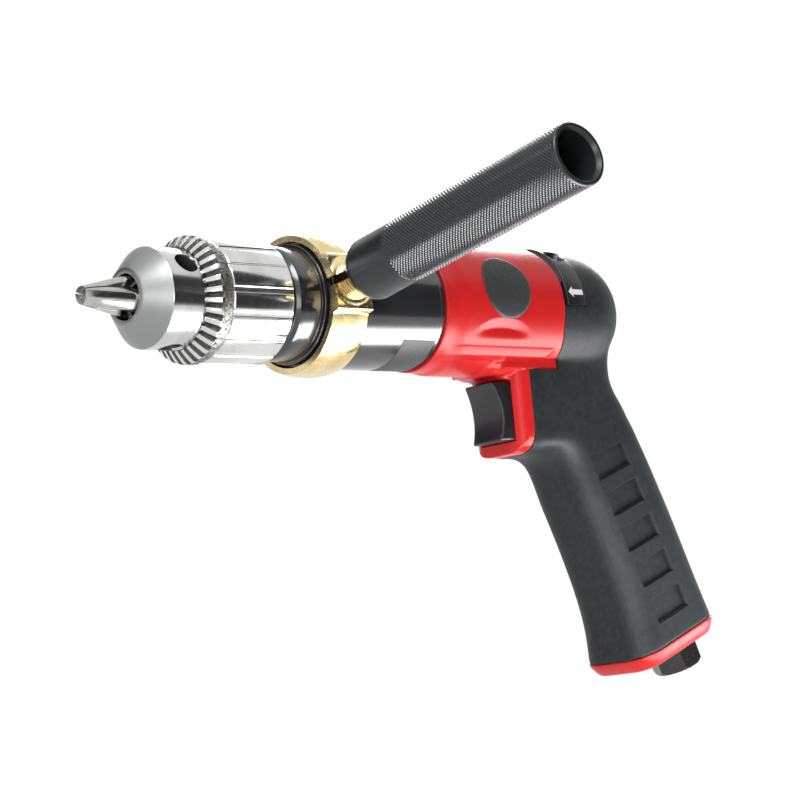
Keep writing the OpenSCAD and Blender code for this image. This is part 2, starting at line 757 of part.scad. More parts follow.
module rotor() {
    x0 = cylinder_x + 0.1;
    x1 = rear_plate_x - 0.1;
    color("lightgray") difference() {
        turned([[first_x, 0], [first_x, pinion_seat_r], [plate_x - 0.3, pinion_seat_r], [plate_x - 0.3, shaft_r],
                [x0, shaft_r], [x0, rotor_r], [x1, rotor_r], [x1, shaft_r], [bulkhead_x - 0.5, shaft_r],
                [bulkhead_x - 0.5, 0]]);
        vane_slots(vane_depth + 0.3, vane_t + 2 * fit_run, x0 - over, x1 + over);
    }
}

module vanes() {
    color("saddlebrown") intersection() {
        vane_slots(vane_depth, vane_t, cylinder_x + 0.2, rear_plate_x - 0.2);
        rod(cylinder_x, rear_plate_x, rotor_r);
    }
}

// Motor housing: barrel, trigger frame, saddle and the grip's rigid core in one moulding
module grip_core(extra) {
    in_grip() translate([0, 0, core_start]) linear_extrude(grip_len - core_start)
        rounded(-core_front - extra, core_rear + extra, core_half_w + extra, 9 + extra);
    in_grip() translate([0, 0, foot_start]) linear_extrude(grip_len - foot_start)
        rounded(-foot_front - extra, foot_rear + extra, foot_half_w + extra, 9 + extra);
    frame_block(frame_mid, throttle_end + 3, core_half_w - 2.5 + extra, throttle_depth + extra, frame_round);
    frame_block(frame_mid, pocket_end + throttle_wall + extra, trigger_half_w + side_gap + throttle_wall + extra,
                trigger_top + trigger_h + side_gap + throttle_wall + extra, 2 * throttle_wall);
}

// The trigger frame, square at the top and rounded at its lower corners
module frame_block(x0, x1, half_w, depth, r) {
    translate([x0, 0, 0]) rotate([90, 0, 90]) linear_extrude(x1 - x0) {
        translate([-half_w, -depth + r]) square([2 * half_w, depth - r - frame_root]);
        translate([-half_w + r, -depth]) square([2 * half_w - 2 * r, depth - frame_root]);
        for (y = [-half_w + r, half_w - r]) translate([y, -depth + r]) circle(r);
    }
}

module housing_outside(extra) {
    rod(case_end, housing_end + extra, housing_r + extra);
    intersection() {
        frame_block(frame_front, frame_end + extra, frame_half_w + extra, frame_depth + extra, frame_round + extra);
        translate([0, 0, -many / 2]) linear_extrude(many)
            rounded(frame_front, frame_end + 2 * frame_corner, frame_half_w + extra, frame_corner);
    }
    translate([frame_front - 5, -saddle_half_w - extra, -saddle_depth - extra])
        cube([housing_end - frame_front + 5 + extra, 2 * (saddle_half_w + extra), saddle_depth]);
}

// The upper half of a turned solid, drawn up so that its top stands higher
module raised(rise) {
    intersection() {
        scale([1, 1, 1 + rise / housing_r]) children();
        translate([0, -many, 0]) cube(2 * many);
    }
}

// Half circle points of the domed end, from its rim to the drill axis
function dome(r, steps = 12) = [for (i = [0:steps]) [dome_x + r * sin(90 * i / steps), r * cos(90 * i / steps)]];

module rear_cap_outside(extra) {
    turned(concat([[neck_end - extra, 0], [neck_end - extra, cap_r + extra]], dome(cap_r + extra)));
}

module motor_housing() {
    hood_x = frame_front - hood_len;
    rim_end = case_end + housing_rim_len;
    color("#d8252b") difference() {
        union() {
            turned([[case_end, 0], [case_end, housing_front_r], [rim_end, housing_front_r],
                    [rim_end + 4, housing_r], [housing_end, housing_r], [housing_end, neck_r],
                    [neck_end, neck_r], [neck_end, 0]]);
            intersection() {
                housing_outside(0);
                translate([rim_end, -many, -many]) cube(2 * many);
            }
            raised(housing_rise) turned([
                [rim_end - 4, 0], [rim_end - 4, housing_front_r * housing_r / (housing_r + housing_rise)],
                [rim_end + 12, housing_r], [housing_end, housing_r], [housing_end, 0]]);
            translate([hood_x, -trigger_half_w, -trigger_top + 0.8])
                cube([hood_len, 2 * trigger_half_w, trigger_top - 0.8]);
            difference() {
                grip_core(0);
                rear_cap_outside(cover_gap);
                rod(housing_end, neck_end + cover_gap, tube_r + cover_gap);
            }
        }
        rod(case_end - over, case_end + spigot_len + 0.3, spigot_r + fit_still);
        rod(case_end - over, bulkhead_x, motor_bore_r);
        rod(bulkhead_x - over, chamber_x + over, motor_bearing_r - 2);
        rod(chamber_x, neck_end + over, chamber_r);
        reverse_slot();
        translate([frame_front - over, -trigger_half_w - side_gap, -trigger_top - trigger_h - side_gap])
            cube([pocket_end - frame_front + over, 2 * (trigger_half_w + side_gap), trigger_h + 2 * side_gap]);
        translate([0, 0, -trigger_mid]) rod(pocket_end - over, throttle_end, throttle_r);
        translate([(seat_x + throttle_end) / 2, 0, -trigger_mid]) cylinder(h = trigger_mid, r = 3);
        in_grip() inlet_passages();
    }
}

// Bores of the grip's core, in the grip's frame
module inlet_passages() {
    foot = grip_len + over;
    screen_z = grip_len - inlet_thread_len - 2;
    translate([inlet_offset, 0, screen_z]) cylinder(h = foot - screen_z, r = inlet_thread_r + fit_still);
    translate([inlet_offset, 0, trigger_mid + 4]) cylinder(h = foot - trigger_mid, r = inlet_bore_r - 1);
    translate([muffler_offset, 0, grip_len - muffler_len])
        cylinder(h = muffler_len + over, r = muffler_r + fit_still);
    for (y = [-screw_y, screw_y]) translate([0, y, grip_len - screw_len + base_h])
        cylinder(h = screw_len, r = base_screw_r + fit_still);
}

// Reverse ring, its pin and its valve. The ring's outer band covers the upper half only.
module reverse_sector(first, last, r) {
    steps = 24;
    translate([ring_start - side_gap, 0, 0]) rotate([90, 0, 90]) linear_extrude(reverse_len + 2 * side_gap)
        polygon(concat([[0, 0]], [for (i = [0:steps]) let (a = first + (last - first) * i / steps)
            r * [-cos(a), sin(a)]]));
}

module reverse_ring() {
    band_r = housing_r;
    color("#26282a") difference() {
        union() {
            tube(ring_start, reverse_end, tube_r, neck_r + fit_run);
            intersection() {
                tube(ring_start, reverse_end, band_r, tube_r - 0.5);
                reverse_sector(band_low, band_high, many);
            }
            difference() {
                raised(housing_rise - 0.4) rod(ring_start, reverse_end, band_r);
                rod(ring_start - over, reverse_end + over, tube_r - 0.5);
            }
            for (a = [band_low, band_high - reverse_tab_angle]) intersection() {
                tube(ring_start + 0.6, reverse_end - 0.6, band_r + reverse_tab_h, tube_r - 0.5);
                reverse_sector(a, a + reverse_tab_angle, many);
            }
        }
        facing(reverse_pin_turn) translate([ring_start + reverse_len / 2, 0, 0]) {
            cylinder(h = many, r = reverse_pin_r + fit_still);
            translate([0, 0, housing_r - 1.6]) cylinder(h = many, r = 2 * reverse_pin_r + 0.6);
        }
    }
}

module reverse_pin() {
    color("black") facing(reverse_pin_turn) translate([ring_start + reverse_len / 2, 0, 0]) {
        translate([0, 0, chamber_r - 2.5]) cylinder(h = housing_r - chamber_r + 1, r = reverse_pin_r);
        translate([0, 0, housing_r - 1.6]) cylinder(h = 1, r = 2 * reverse_pin_r);
    }
}

// Slot in the neck that the pin swings in
module reverse_slot() {
    swing = asin((reverse_pin_r + side_gap) / chamber_r);
    intersection() {
        tube(ring_start + reverse_len / 2 - reverse_pin_r - side_gap,
             ring_start + reverse_len / 2 + reverse_pin_r + side_gap, neck_r + over, chamber_r - over);
        reverse_sector(reverse_pin_turn - swing, reverse_pin_turn + reverse_turn + swing, many);
    }
}

module reverse_valve() {
    x0 = chamber_x + 0.2;
    color("gray") difference() {
        turned([[x0, 4], [x0, chamber_r - fit_run], [x0 + valve_len, chamber_r - fit_run],
                [x0 + valve_len, chamber_r - 4], [x0 + valve_t, chamber_r - 4], [x0 + valve_t, 4]]);
        for (a = [-35, 35]) rotate([a, 0, 0]) translate([0, 0, -chamber_r / 2])
            rod(x0 - over, x0 + valve_t + over, valve_port_r);
        facing(reverse_pin_turn) translate([ring_start + reverse_len / 2, 0, chamber_r - 2.5 - fit_still])
            cylinder(h = many, r = reverse_pin_r + fit_still);
    }
}

module rear_cap() {
    inner = cap_r - rear_cap_wall;
    bore = chamber_r - 3;
    spigot_x = neck_end - 2.5;
    color("#3a3c3f") turned(concat(
        [[spigot_x, bore], [spigot_x, chamber_r - fit_still], [neck_end, chamber_r - fit_still], [neck_end, cap_r]],
        dome(cap_r), [for (i = [12:-1:0]) dome(inner)[i]], [[dome_x, bore]]));
}

// Trigger and throttle, in line along X
module in_throttle() {
    translate([0, 0, -trigger_mid]) children();
}

module trigger() {
    x0 = frame_front - trigger_reach;
    half = trigger_h / 2;
    steps = 16;
    face = [for (i = [0:steps]) let (t = i / steps)
        [x0 + trigger_lean * t + 4 * trigger_hollow * t * (1 - t), half - trigger_h * t]];
    color("#1f2022") in_throttle() difference() {
        intersection() {
            translate([0, trigger_half_w, 0]) rotate([90, 0, 0]) linear_extrude(2 * trigger_half_w)
                polygon(concat(face, [[x0 + trigger_depth, -half], [x0 + trigger_depth, half]]));
            translate([0, 0, -trigger_h]) linear_extrude(2 * trigger_h)
                polygon([[x0 - over, -trigger_front_w], [frame_front, -trigger_half_w],
                         [x0 + trigger_depth + over, -trigger_half_w], [x0 + trigger_depth + over, trigger_half_w],
                         [frame_front, trigger_half_w], [x0 - over, trigger_front_w]]);
        }
        rod(x0 + trigger_depth - 3, x0 + trigger_depth + over, stem_r + fit_still);
    }
}

module trigger_stem() {
    x0 = frame_front - trigger_reach + trigger_depth - 2.9;
    color("silver") in_throttle() rod(x0, spring_x - 0.5, stem_r);
}

module throttle_bushing() {
    color("goldenrod") in_throttle() tube(pocket_end, seat_x, throttle_r - fit_still, stem_r + fit_run);
}

module throttle_seat() {
    color("black") in_throttle() tube(seat_x, seat_x + throttle_seat_len, throttle_r - fit_still, stem_r + 1.8);
}

module throttle_valve() {
    color("goldenrod") in_throttle() turned([
        [valve_x, stem_r + fit_still], [valve_x, throttle_r - 1], [spring_x, throttle_r - 1], [spring_x, 0],
        [spring_x - 0.48, 0], [spring_x - 0.48, stem_r + fit_still]]);
}

// Throttle spring: one wire swept along a helix
module throttle_spring() {
    sides = 6;
    per_turn = 12;
    rings = spring_turns * per_turn;
    rise = spring_len - 2 * spring_wire_r - 0.1;
    points = [for (i = [0:rings], j = [0:sides - 1])
        let (a = 360 * i / per_turn, b = 360 * j / sides, r = spring_r + spring_wire_r * cos(b))
        [spring_x + 0.05 + spring_wire_r + rise * i / rings + spring_wire_r * sin(b), r * cos(a), r * sin(a)]];
    walls = [for (i = [0:rings - 1], j = [0:sides - 1])
        let (a = i * sides + j, b = i * sides + (j + 1) % sides) each [[a, b, a + sides], [b, b + sides, a + sides]]];
    ends = [for (j = [1:sides - 2]) each [[0, j + 1, j], [rings * sides, rings * sides + j, rings * sides + j + 1]]];
    color("silver") in_throttle() polyhedron(points, concat(walls, ends));
}

// Rubber cover: the lofted grip and the rear dome, cut to fit what is inside it
function section(s) = let (r = min(grip_round, s[3] - 1), n = 6)
    [for (c = [0:3], k = [0:n])
        let (a = 90 * c + 90 * k / n,
             cx = (c == 0 || c == 3) ? s[2] - r : r - s[1],
             cy = (c < 2) ? s[3] - r : r - s[3])
        [cx + r * cos(a), cy + r * sin(a), s[0]]];

module grip_skin() {
    rings = [for (s = GRIP) section(s)];
    n = len(rings[0]);
    last = len(rings) - 1;
    walls = [for (i = [0:last - 1], j = [0:n - 1])
        let (a = i * n + j, b = i * n + (j + 1) % n) each [[a, a + n, b], [b, a + n, b + n]]];
    ends = [[for (j = [0:n - 1]) j], [for (j = [0:n - 1]) last * n + n - 1 - j]];
    in_grip() polyhedron([for (ring = rings) each ring], concat(walls, ends), convexity = 6);
}

module pads() {
    for (side = [-1, 1], i = [0:pad_count - 1])
        in_grip() translate([0.5 * i - 3.9 - pad_len / 2, side * grip_half_w - pad_depth, pad_start + pad_pitch * i])
            cube([pad_len, 2 * pad_depth, pad_h]);
}

module grip_cover() {
    color("#3b3e41") difference() {
        union() {
            rod(housing_end + cover_gap, dome_x, housing_r);
            translate([dome_x, 0, 0]) sphere(housing_r);
            difference() {
                grip_skin();
                translate([frame_end + cover_gap - many, -many / 2, -many / 2]) cube([many, many, many]);
                translate([0, -many / 2, -saddle_depth - cover_gap])
                    cube([housing_end + cover_gap, many, many]);
            }
        }
        housing_outside(cover_gap);
        grip_core(cover_gap);
        rear_cap_outside(cover_gap);
        rod(case_end, neck_end, tube_r + cover_gap);
        intersection() {
            rod(ring_start - side_gap, reverse_end + side_gap, many / 8);
            reverse_sector(band_low - 0.7, band_high + reverse_turn + 0.7, many);
        }
        pads();
    }
}

// Base cap, its screws, the inlet and the muffler
module in_base(z = 0) {
    in_grip() translate([0, 0, grip_len + z]) children();
}

module base_cap() {
    color("#d8252b") difference() {
        union() {
            in_base(0.05) linear_extrude(base_h - 1.5)
                rounded(-base_front - 0.2, base_rear + 0.2, base_half_w + 0.2, grip_round);
            in_base(base_h - 1.5) linear_extrude(1.5)
                rounded(-base_front + 1.2, base_rear - 1.2, base_half_w - 1.2, grip_round - 1.2);
        }
        in_base(-over) translate([inlet_offset, 0, 0])
            cylinder(h = base_h + 2 * over, r = inlet_thread_r + fit_still);
        for (x = [-4:2:4]) in_base(-over) translate([muffler_offset - 3.5, x * 1.6 - 0.7, 0])
            cube([7, 1.4, base_h + 2 * over]);
        for (y = [-screw_y, screw_y]) in_base(-over) translate([0, y, 0]) {
            cylinder(h = base_h + 2 * over, r = base_screw_r + 0.2);
            translate([0, 0, base_h - 2 + over]) cylinder(h = 4, r = 2 * base_screw_r + 0.2);
        }
    }
}

module base_screws() {
    color("dimgray") for (y = [-screw_y, screw_y]) in_base() translate([0, y, 0]) difference() {
        union() {
            translate([0, 0, base_h - 2 - screw_len + 4]) cylinder(h = screw_len - 4, r = base_screw_r);
            translate([0, 0, base_h - 2]) cylinder(h = 1.8, r = 2 * base_screw_r);
        }
        translate([0, 0, base_h - 1]) cylinder(h = 2, r = base_screw_r * 0.7, $fn = 6);
    }
}

module inlet_bushing() {
    top = -inlet_thread_len;
    color("#202124") in_base() translate([inlet_offset, 0, 0]) difference() {
        union() {
            translate([0, 0, top]) cylinder(h = inlet_thread_len + base_h + 0.1, r = inlet_thread_r);
            translate([0, 0, base_h + 0.05]) intersection() {
                cylinder(h = inlet_hex_h, r = inlet_hex / sqrt(3), $fn = 6);
                cylinder(h = inlet_hex_h, r1 = inlet_hex / sqrt(3) + 6, r2 = inlet_hex / 2);
            }
        }
        translate([0, 0, base_h + inlet_hex_h - inlet_bore_depth])
            cylinder(h = inlet_bore_depth + over, r = inlet_bore_r);
        translate([0, 0, top - over]) cylinder(h = many / 8, r = inlet_bore_r - 1.2);
    }
}

module inlet_screen() {
    color("silver") in_base(-inlet_thread_len - 1.6) translate([inlet_offset, 0, 0]) difference() {
        cylinder(h = 1.5, r = inlet_thread_r);
        for (x = [-3:1.5:3], y = [-3:1.5:3]) translate([x, y, -over]) cylinder(h = 4, r = 0.45, $fn = 6);
    }
}

module muffler() {
    color("khaki") in_base(-muffler_len + 0.1) translate([muffler_offset, 0, 0])
        cylinder(h = muffler_len - 0.2, r = muffler_r);
}

chuck_body();
chuck_screw();
chuck_sleeve();
chuck_nut();
jaw(0);  // chuck_jaw_1
jaw(1);  // chuck_jaw_2
jaw(2);  // chuck_jaw_3
spindle();
output_planet_pins();
color("gray") planet(output_x, 0);  // output_planet_1
color("gray") planet(output_x, 1);  // output_planet_2
color("gray") planet(output_x, 2);  // output_planet_3
ring_gear();
first_carrier();
first_planet_pins();
color("gray") planet(first_x, 0);  // first_planet_1
color("gray") planet(first_x, 1);  // first_planet_2
color("gray") planet(first_x, 2);  // first_planet_3
motor_pinion();
gear_case();
spindle_seal();
color("silver") bearing_outer(front_bearing_x, front_bearing_w, front_bearing_r, spindle_r);  // front_bearing_outer
color("silver") bearing_inner(front_bearing_x, front_bearing_w, spindle_r);  // front_bearing_inner
color("silver") bearing_outer(rear_bearing_x, rear_bearing_w, rear_bearing_r, spindle_r);  // rear_bearing_outer
color("silver") bearing_inner(rear_bearing_x, rear_bearing_w, spindle_r);  // rear_bearing_inner
bearing_spacer();
gear_spacer();
handle_collar();
side_handle();
front_end_plate();
color("silver") bearing_outer(plate_x, motor_bearing_w, motor_bearing_r, shaft_r);  // motor_front_bearing_outer
color("silver") bearing_inner(plate_x, motor_bearing_w, shaft_r);  // motor_front_bearing_inner
cylinder_liner();
rotor();
vanes();
rear_end_plate();
color("silver") bearing_outer(bulkhead_x - motor_bearing_w, motor_bearing_w, motor_bearing_r, shaft_r);  // motor_rear_bearing_outer
color("silver") bearing_inner(bulkhead_x - motor_bearing_w, motor_bearing_w, shaft_r);  // motor_rear_bearing_inner
motor_housing();
reverse_ring();
reverse_pin();
reverse_valve();
rear_cap();
trigger();
trigger_stem();
throttle_bushing();
throttle_seat();
throttle_valve();
throttle_spring();
grip_cover();
base_cap();
base_screws();
inlet_bushing();
inlet_screen();
muffler();
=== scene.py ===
import math

import bmesh
import bpy
from mathutils import Matrix, Vector


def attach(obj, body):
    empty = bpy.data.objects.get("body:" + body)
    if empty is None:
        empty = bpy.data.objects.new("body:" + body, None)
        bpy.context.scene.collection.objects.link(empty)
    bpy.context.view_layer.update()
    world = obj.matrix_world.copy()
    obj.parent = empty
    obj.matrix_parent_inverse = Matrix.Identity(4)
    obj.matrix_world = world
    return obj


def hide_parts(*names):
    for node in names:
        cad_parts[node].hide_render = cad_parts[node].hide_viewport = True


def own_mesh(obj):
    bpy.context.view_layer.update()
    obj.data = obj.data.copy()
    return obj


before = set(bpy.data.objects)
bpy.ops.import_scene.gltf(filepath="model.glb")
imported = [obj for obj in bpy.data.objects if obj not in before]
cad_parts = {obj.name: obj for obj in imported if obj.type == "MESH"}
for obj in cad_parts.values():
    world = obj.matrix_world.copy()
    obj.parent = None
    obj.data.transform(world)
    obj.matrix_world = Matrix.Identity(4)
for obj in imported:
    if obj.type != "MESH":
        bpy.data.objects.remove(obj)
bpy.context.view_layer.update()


# Motor, gears, bearings and throttle: turned, ground and cut pieces that lie inside the drill.
# Their CAD solids carry over as they are. Most are steel, and the others take the finish named for them.
MM = 0.001


def new_finish(name, colour, roughness, metallic=0.0, extra=None):
    material = bpy.data.materials.new(name)
    material.use_nodes = True
    tree = material.node_tree
    shader = tree.nodes["Principled BSDF"]
    values = {"Base Color": (*colour, 1), "Roughness": roughness, "Metallic": metallic, **(extra or {})}
    for label, value in values.items():
        shader.inputs[label].default_value = value
    return material, tree, shader


def add(tree, kind, sockets, **settings):
    node = tree.nodes.new(kind)
    for name, value in settings.items():
        setattr(node, name, value)
    for name, value in sockets.items():
        if isinstance(value, bpy.types.NodeSocket):
            tree.links.new(value, node.inputs[name])
        else:
            node.inputs[name].default_value = value
    return node


def grain(tree, scale, stretch=(1, 1, 1), detail=2.0):
    where = add(tree, "ShaderNodeTexCoord", {}).outputs["Object"]
    where = add(tree, "ShaderNodeMapping", {"Vector": where, "Scale": stretch}).outputs["Vector"]
    return add(tree, "ShaderNodeTexNoise", {"Vector": where, "Scale": scale, "Detail": detail}).outputs["Fac"]


def spread(tree, value, low, high, start=0.3, stop=0.7):
    sockets = {"Value": value, "From Min": start, "From Max": stop, "To Min": low, "To Max": high}
    return add(tree, "ShaderNodeMapRange", sockets).outputs["Result"]


def tones(tree, value, dark, light, start=0.3, stop=0.7):
    ramp = add(tree, "ShaderNodeValToRGB", {"Fac": value})
    ends = ramp.color_ramp.elements
    ends[0].position = start
    ends[0].color = (*dark, 1)
    ends[1].position = stop
    ends[1].color = (*light, 1)
    return ramp.outputs["Color"]


def roughen(tree, shader, height, depth):
    bump = add(tree, "ShaderNodeBump", {"Height": height, "Distance": depth * MM})
    tree.links.new(bump.outputs["Normal"], shader.inputs["Normal"])


def dress(tree, shader, tint, dark, light, gloss, low, high, depth, ends=(0.3, 0.7)):
    """Two close tones from one grain, and an uneven gloss and a fine surface from another."""
    tree.links.new(tones(tree, tint, dark, light, *ends), shader.inputs["Base Color"])
    tree.links.new(spread(tree, gloss, low, high), shader.inputs["Roughness"])
    roughen(tree, shader, gloss, depth)


def worked_finish(name, dark, light, roughness, metallic, scale, depth, stretch=(1, 1, 1)):
    """A finish that takes its tones, its gloss and its fine surface from one grain."""
    material, tree, shader = new_finish(name, light, roughness, metallic)
    fine = grain(tree, scale, stretch)
    dress(tree, shader, fine, dark, light, fine, roughness + 0.07, roughness - 0.05, depth)
    return material


gear_steel = worked_finish("gear_steel", (0.40, 0.40, 0.41), (0.56, 0.56, 0.57), 0.32, 1.0, 900, 0.02,
                           (6, 1, 1))
valve_brass = worked_finish("valve_brass", (0.62, 0.44, 0.17), (0.78, 0.58, 0.25), 0.3, 1.0, 800, 0.02)
vane_board = worked_finish("vane_board", (0.16, 0.10, 0.05), (0.24, 0.16, 0.09), 0.6, 0.0, 1500, 0.05,
                           (1, 4, 4))
seal_rubber = worked_finish("seal_rubber", (0.018, 0.018, 0.018), (0.03, 0.03, 0.03), 0.6, 0.0, 1200, 0.03)
cap_plastic = worked_finish("cap_plastic", (0.03, 0.03, 0.032), (0.045, 0.045, 0.047), 0.45, 0.0, 1000, 0.03)
felt = worked_finish("felt", (0.42, 0.36, 0.24), (0.60, 0.53, 0.38), 0.9, 0.0, 1800, 0.25)
INSIDE = {
    valve_brass: ("throttle_bushing", "throttle_valve"),
    vane_board: ("vanes",),
    seal_rubber: ("spindle_seal", "throttle_seat"),
    cap_plastic: ("reverse_valve", "rear_cap", "reverse_pin"),
    felt: ("muffler",),
}
finishes = {name: finish for finish, names in INSIDE.items() for name in names}
for name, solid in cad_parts.items():
    finish = finishes.get(name, gear_steel)
    if not solid.material_slots:
        solid.data.materials.append(finish)
    for place in solid.material_slots:
        place.material = finish


# Gear case: a turned steel barrel, blacked and polished, that holds the spindle bearings and the planets.
# Its stepped nose runs under the collar, and its rear spigot plugs into the motor housing.
SIDE_SHARE = 0.45
LEAST_ROUND = 0.004


def eased(points, radius, steps=3):
    """Rounds the corners of a closed outline. A third number on a point is its own radius."""
    outline = []
    for i, point in enumerate(points):
        here = Vector(point[:2])
        back = Vector(points[i - 1][:2]) - here
        ahead = Vector(points[(i + 1) % len(points)][:2]) - here
        own = point[2] if len(point) > 2 else radius
        reach = min(own, SIDE_SHARE * back.length, SIDE_SHARE * ahead.length)
        if reach < LEAST_ROUND:
            outline.append(here)
            continue
        start = here + back.normalized() * reach
        stop = here + ahead.normalized() * reach
        for k in range(steps + 1):
            t = k / steps
            outline.append((1 - t) ** 2 * start + 2 * t * (1 - t) * here + t * t * stop)
    return outline


def into_scene(name, data):
    thing = bpy.data.objects.new(name, data)
    bpy.context.scene.collection.objects.link(thing)
    return thing


def put(name, points, faces):
    """A new mesh object at the origin from points in millimetres, closed up and facing outwards."""
    mesh = bpy.data.meshes.new(name)
    mesh.from_pydata([Vector(p) * MM for p in points], [], faces)
    piece = into_scene(name, mesh)
    close_up(piece)
    return piece


def close_up(piece):
    shape = bmesh.new()
    shape.from_mesh(piece.data)
    bmesh.ops.remove_doubles(shape, verts=shape.verts, dist=0.0005 * MM)
    bmesh.ops.dissolve_degenerate(shape, edges=shape.edges, dist=0.0002 * MM)
    bmesh.ops.recalc_face_normals(shape, faces=shape.faces)
    shape.to_mesh(piece.data)
    shape.free()


def skin(rows, count, whole=False, ends=False):
    """Faces between rows of points, each row a closed loop. A whole skin joins its last row to its first."""
    faces = []
    for k in range(rows if whole else rows - 1):
        here = k * count
        there = (k + 1) % rows * count
        for i in range(count):
            j = (i + 1) % count
            faces.append((here + i, here + j, there + j, there + i))
    if ends:
        faces.append(tuple(range(count)))
        faces.append(tuple(reversed(range((rows - 1) * count, rows * count))))
    return faces


def turn(name, outline, segments, first=0.0, last=360.0):
    """Turns a closed outline of (x, radius) about the drill axis, wholly or through part of a turn."""
    whole = last - first >= 360
    stations = segments if whole else segments + 1
    points = []
    for k in range(stations):
        angle = math.radians(first + (last - first) * k / segments)
        points += [(x, -r * math.cos(angle), r * math.sin(angle)) for x, r in outline]
    return put(name, points, skin(stations, len(outline), whole, not whole))


def settle(piece):
    """Turns a piece and its modifiers into a plain mesh."""
    bpy.context.view_layer.update()
    graph = bpy.context.evaluated_depsgraph_get()
    mesh = bpy.data.meshes.new_from_object(piece.evaluated_get(graph))
    piece.modifiers.clear()
    piece.data = mesh


def shade(piece, material, angle=32.0):
    """Drops what a cut left doubled, and gives a piece its finish and its smooth and sharp edges."""
    piece.data.validate()
    piece.data.materials.clear()
    piece.data.materials.append(material)
    piece.data.shade_smooth()
    piece.data.set_sharp_from_angle(angle=math.radians(angle))


def stand_for(piece, body, slot, *nodes):
    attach(piece, body)
    if nodes:
        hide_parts(*nodes)


CASE_START = 58.48
CASE_END = 125.38
CASE_R = 22.0
MOTOR_R = 19.35
case_outline = [
    (CASE_START, 13.05), (CASE_START, 18.3), (60.0, 19.6), (61.2, 19.9), (68.3, 20.1), (68.5, 19.5),
    (69.3, 19.5), (69.5, 21.0), (72.0, 21.0), (72.2, 20.3), (72.98, 20.3), (72.98, CASE_R), (122.7, CASE_R),
    (123.0, 21.55), (CASE_END, 21.55), (CASE_END, 21.0), (135.38, 21.0), (135.38, MOTOR_R), (91.48, MOTOR_R),
    (91.48, 17.0), (85.98, 17.0), (85.98, 16.02), (71.98, 16.02), (71.98, 17.52), (60.98, 17.52),
    (60.98, 13.05)]
gear_case = turn("gear_case_barrel", eased(case_outline, 0.3), 160)
coat = {"Specular IOR Level": 0.75, "Coat Weight": 0.4, "Coat Roughness": 0.08}
blacked, tree, shader = new_finish("polished_black", (0.012, 0.0125, 0.014), 0.17, extra=coat)
streaks = grain(tree, 240, (9, 1, 1), 3.0)
patches = grain(tree, 26)
dress(tree, shader, patches, (0.009, 0.0095, 0.011), (0.018, 0.019, 0.021), streaks, 0.13, 0.24, 0.006)
shade(gear_case, blacked)
stand_for(gear_case, "drill", "black_case", "gear_case")
film = worked_finish("label_film", (0.016, 0.016, 0.018), (0.026, 0.026, 0.028), 0.48, 0.0, 900, 0.01)
LABEL_X = 107.5
LABEL_END = 122.3
label_outline = [(LABEL_X, CASE_R - 0.3), (LABEL_X, CASE_R + 0.1), (LABEL_END, CASE_R + 0.1),
                 (LABEL_END, CASE_R - 0.3)]
label = turn("bare_label", eased(label_outline, 0.04), 24, -96, -40)
shade(label, film)
stand_for(label, "drill", "black_plastic")


# Chuck body: a ground steel cylinder with a nose cone, screwed on the spindle and held by its inner screw.
# Three key holes with countersunk rims lie around it, and three sloping bores carry the jaws.
NOSE_FACE_R = 9.6
NOSE_MOUTH_R = 7.8
NOSE_END = 7.7
BODY_R = 17.25
BODY_END = 56.98
JAW_AHEAD = 17.5
JAW_LINE = 3
JAW_SLOPE = math.atan((BODY_R - 3.335 - JAW_LINE) / (24.4 + JAW_AHEAD))
JAW_R = 3.9
KEY_X = 16.2
KEY_R = 4.0
KEY_TURNS = (35, 155, 275)
JAW_TURNS = (95, 215, 335)
AXIS = 0.01


def rod(start, stop, radius):
    """The outline of a plain round bar. Points on the axis keep a hair's breadth away from it."""
    return [(start, AXIS), (start, radius), (stop, radius), (stop, AXIS)]


def facing(angle):
    """Turns a shape made along +Z so that it points at an angle from the left side (-Y) towards the top."""
    return Matrix.Rotation(math.radians(90 - angle), 4, "X")


def cut(piece, *tools, operation="DIFFERENCE"):
    for tool in tools:
        step = piece.modifiers.new("cut", "BOOLEAN")
        step.object = tool
        step.operation = operation
        step.solver = "EXACT"
    settle(piece)
    for tool in tools:
        bpy.data.objects.remove(tool)


def upright(name, outline, segments, place):
    """A turned shape whose axis is +Z before the matrix puts it in place (in millimetres)."""
    tool = turn(name, outline, segments)
    tool.data.transform(Matrix.Scale(MM, 4) @ place @ Matrix.Rotation(math.radians(-90), 4, "Y")
                        @ Matrix.Scale(1 / MM, 4))
    close_up(tool)
    return tool


body_outline = [
    (0, NOSE_MOUTH_R, 0.3), (0, NOSE_FACE_R, 0.7), (NOSE_END, BODY_R, 0.25), (24.2, BODY_R, 0.2),
    (24.2, 12.5), (29.6, 12.5), (29.6, BODY_R), (BODY_END, BODY_R, 0.5), (BODY_END, 6.37), (40.18, 6.37),
    (40.18, 3.2), (35.98, 3.2), (35.98, 6.6), (4.0, 6.6), (4.0, NOSE_MOUTH_R)]
chuck_body = turn("chuck_body_turned", eased(body_outline, 0.15), 160)
tools = []
for angle in KEY_TURNS:
    hole = [(9.75, AXIS), (9.75, KEY_R), (16.35, KEY_R), (17.05, 4.35), (17.4, 4.75), (22, 4.9), (22, AXIS)]
    tools.append(upright("key_hole", hole, 48, facing(angle) @ Matrix.Translation((KEY_X, 0, 0))))
for angle in JAW_TURNS:
    lean = Matrix.Translation((JAW_R * math.sin(JAW_SLOPE) - JAW_AHEAD, 0,
                               JAW_LINE - JAW_R * math.cos(JAW_SLOPE)))
    lean = facing(angle) @ lean @ Matrix.Rotation(math.pi / 2 - JAW_SLOPE, 4, "Y")
    tools.append(upright("jaw_bore", rod(-40, 120, JAW_R + 0.05), 48, lean))
cut(chuck_body, *tools)


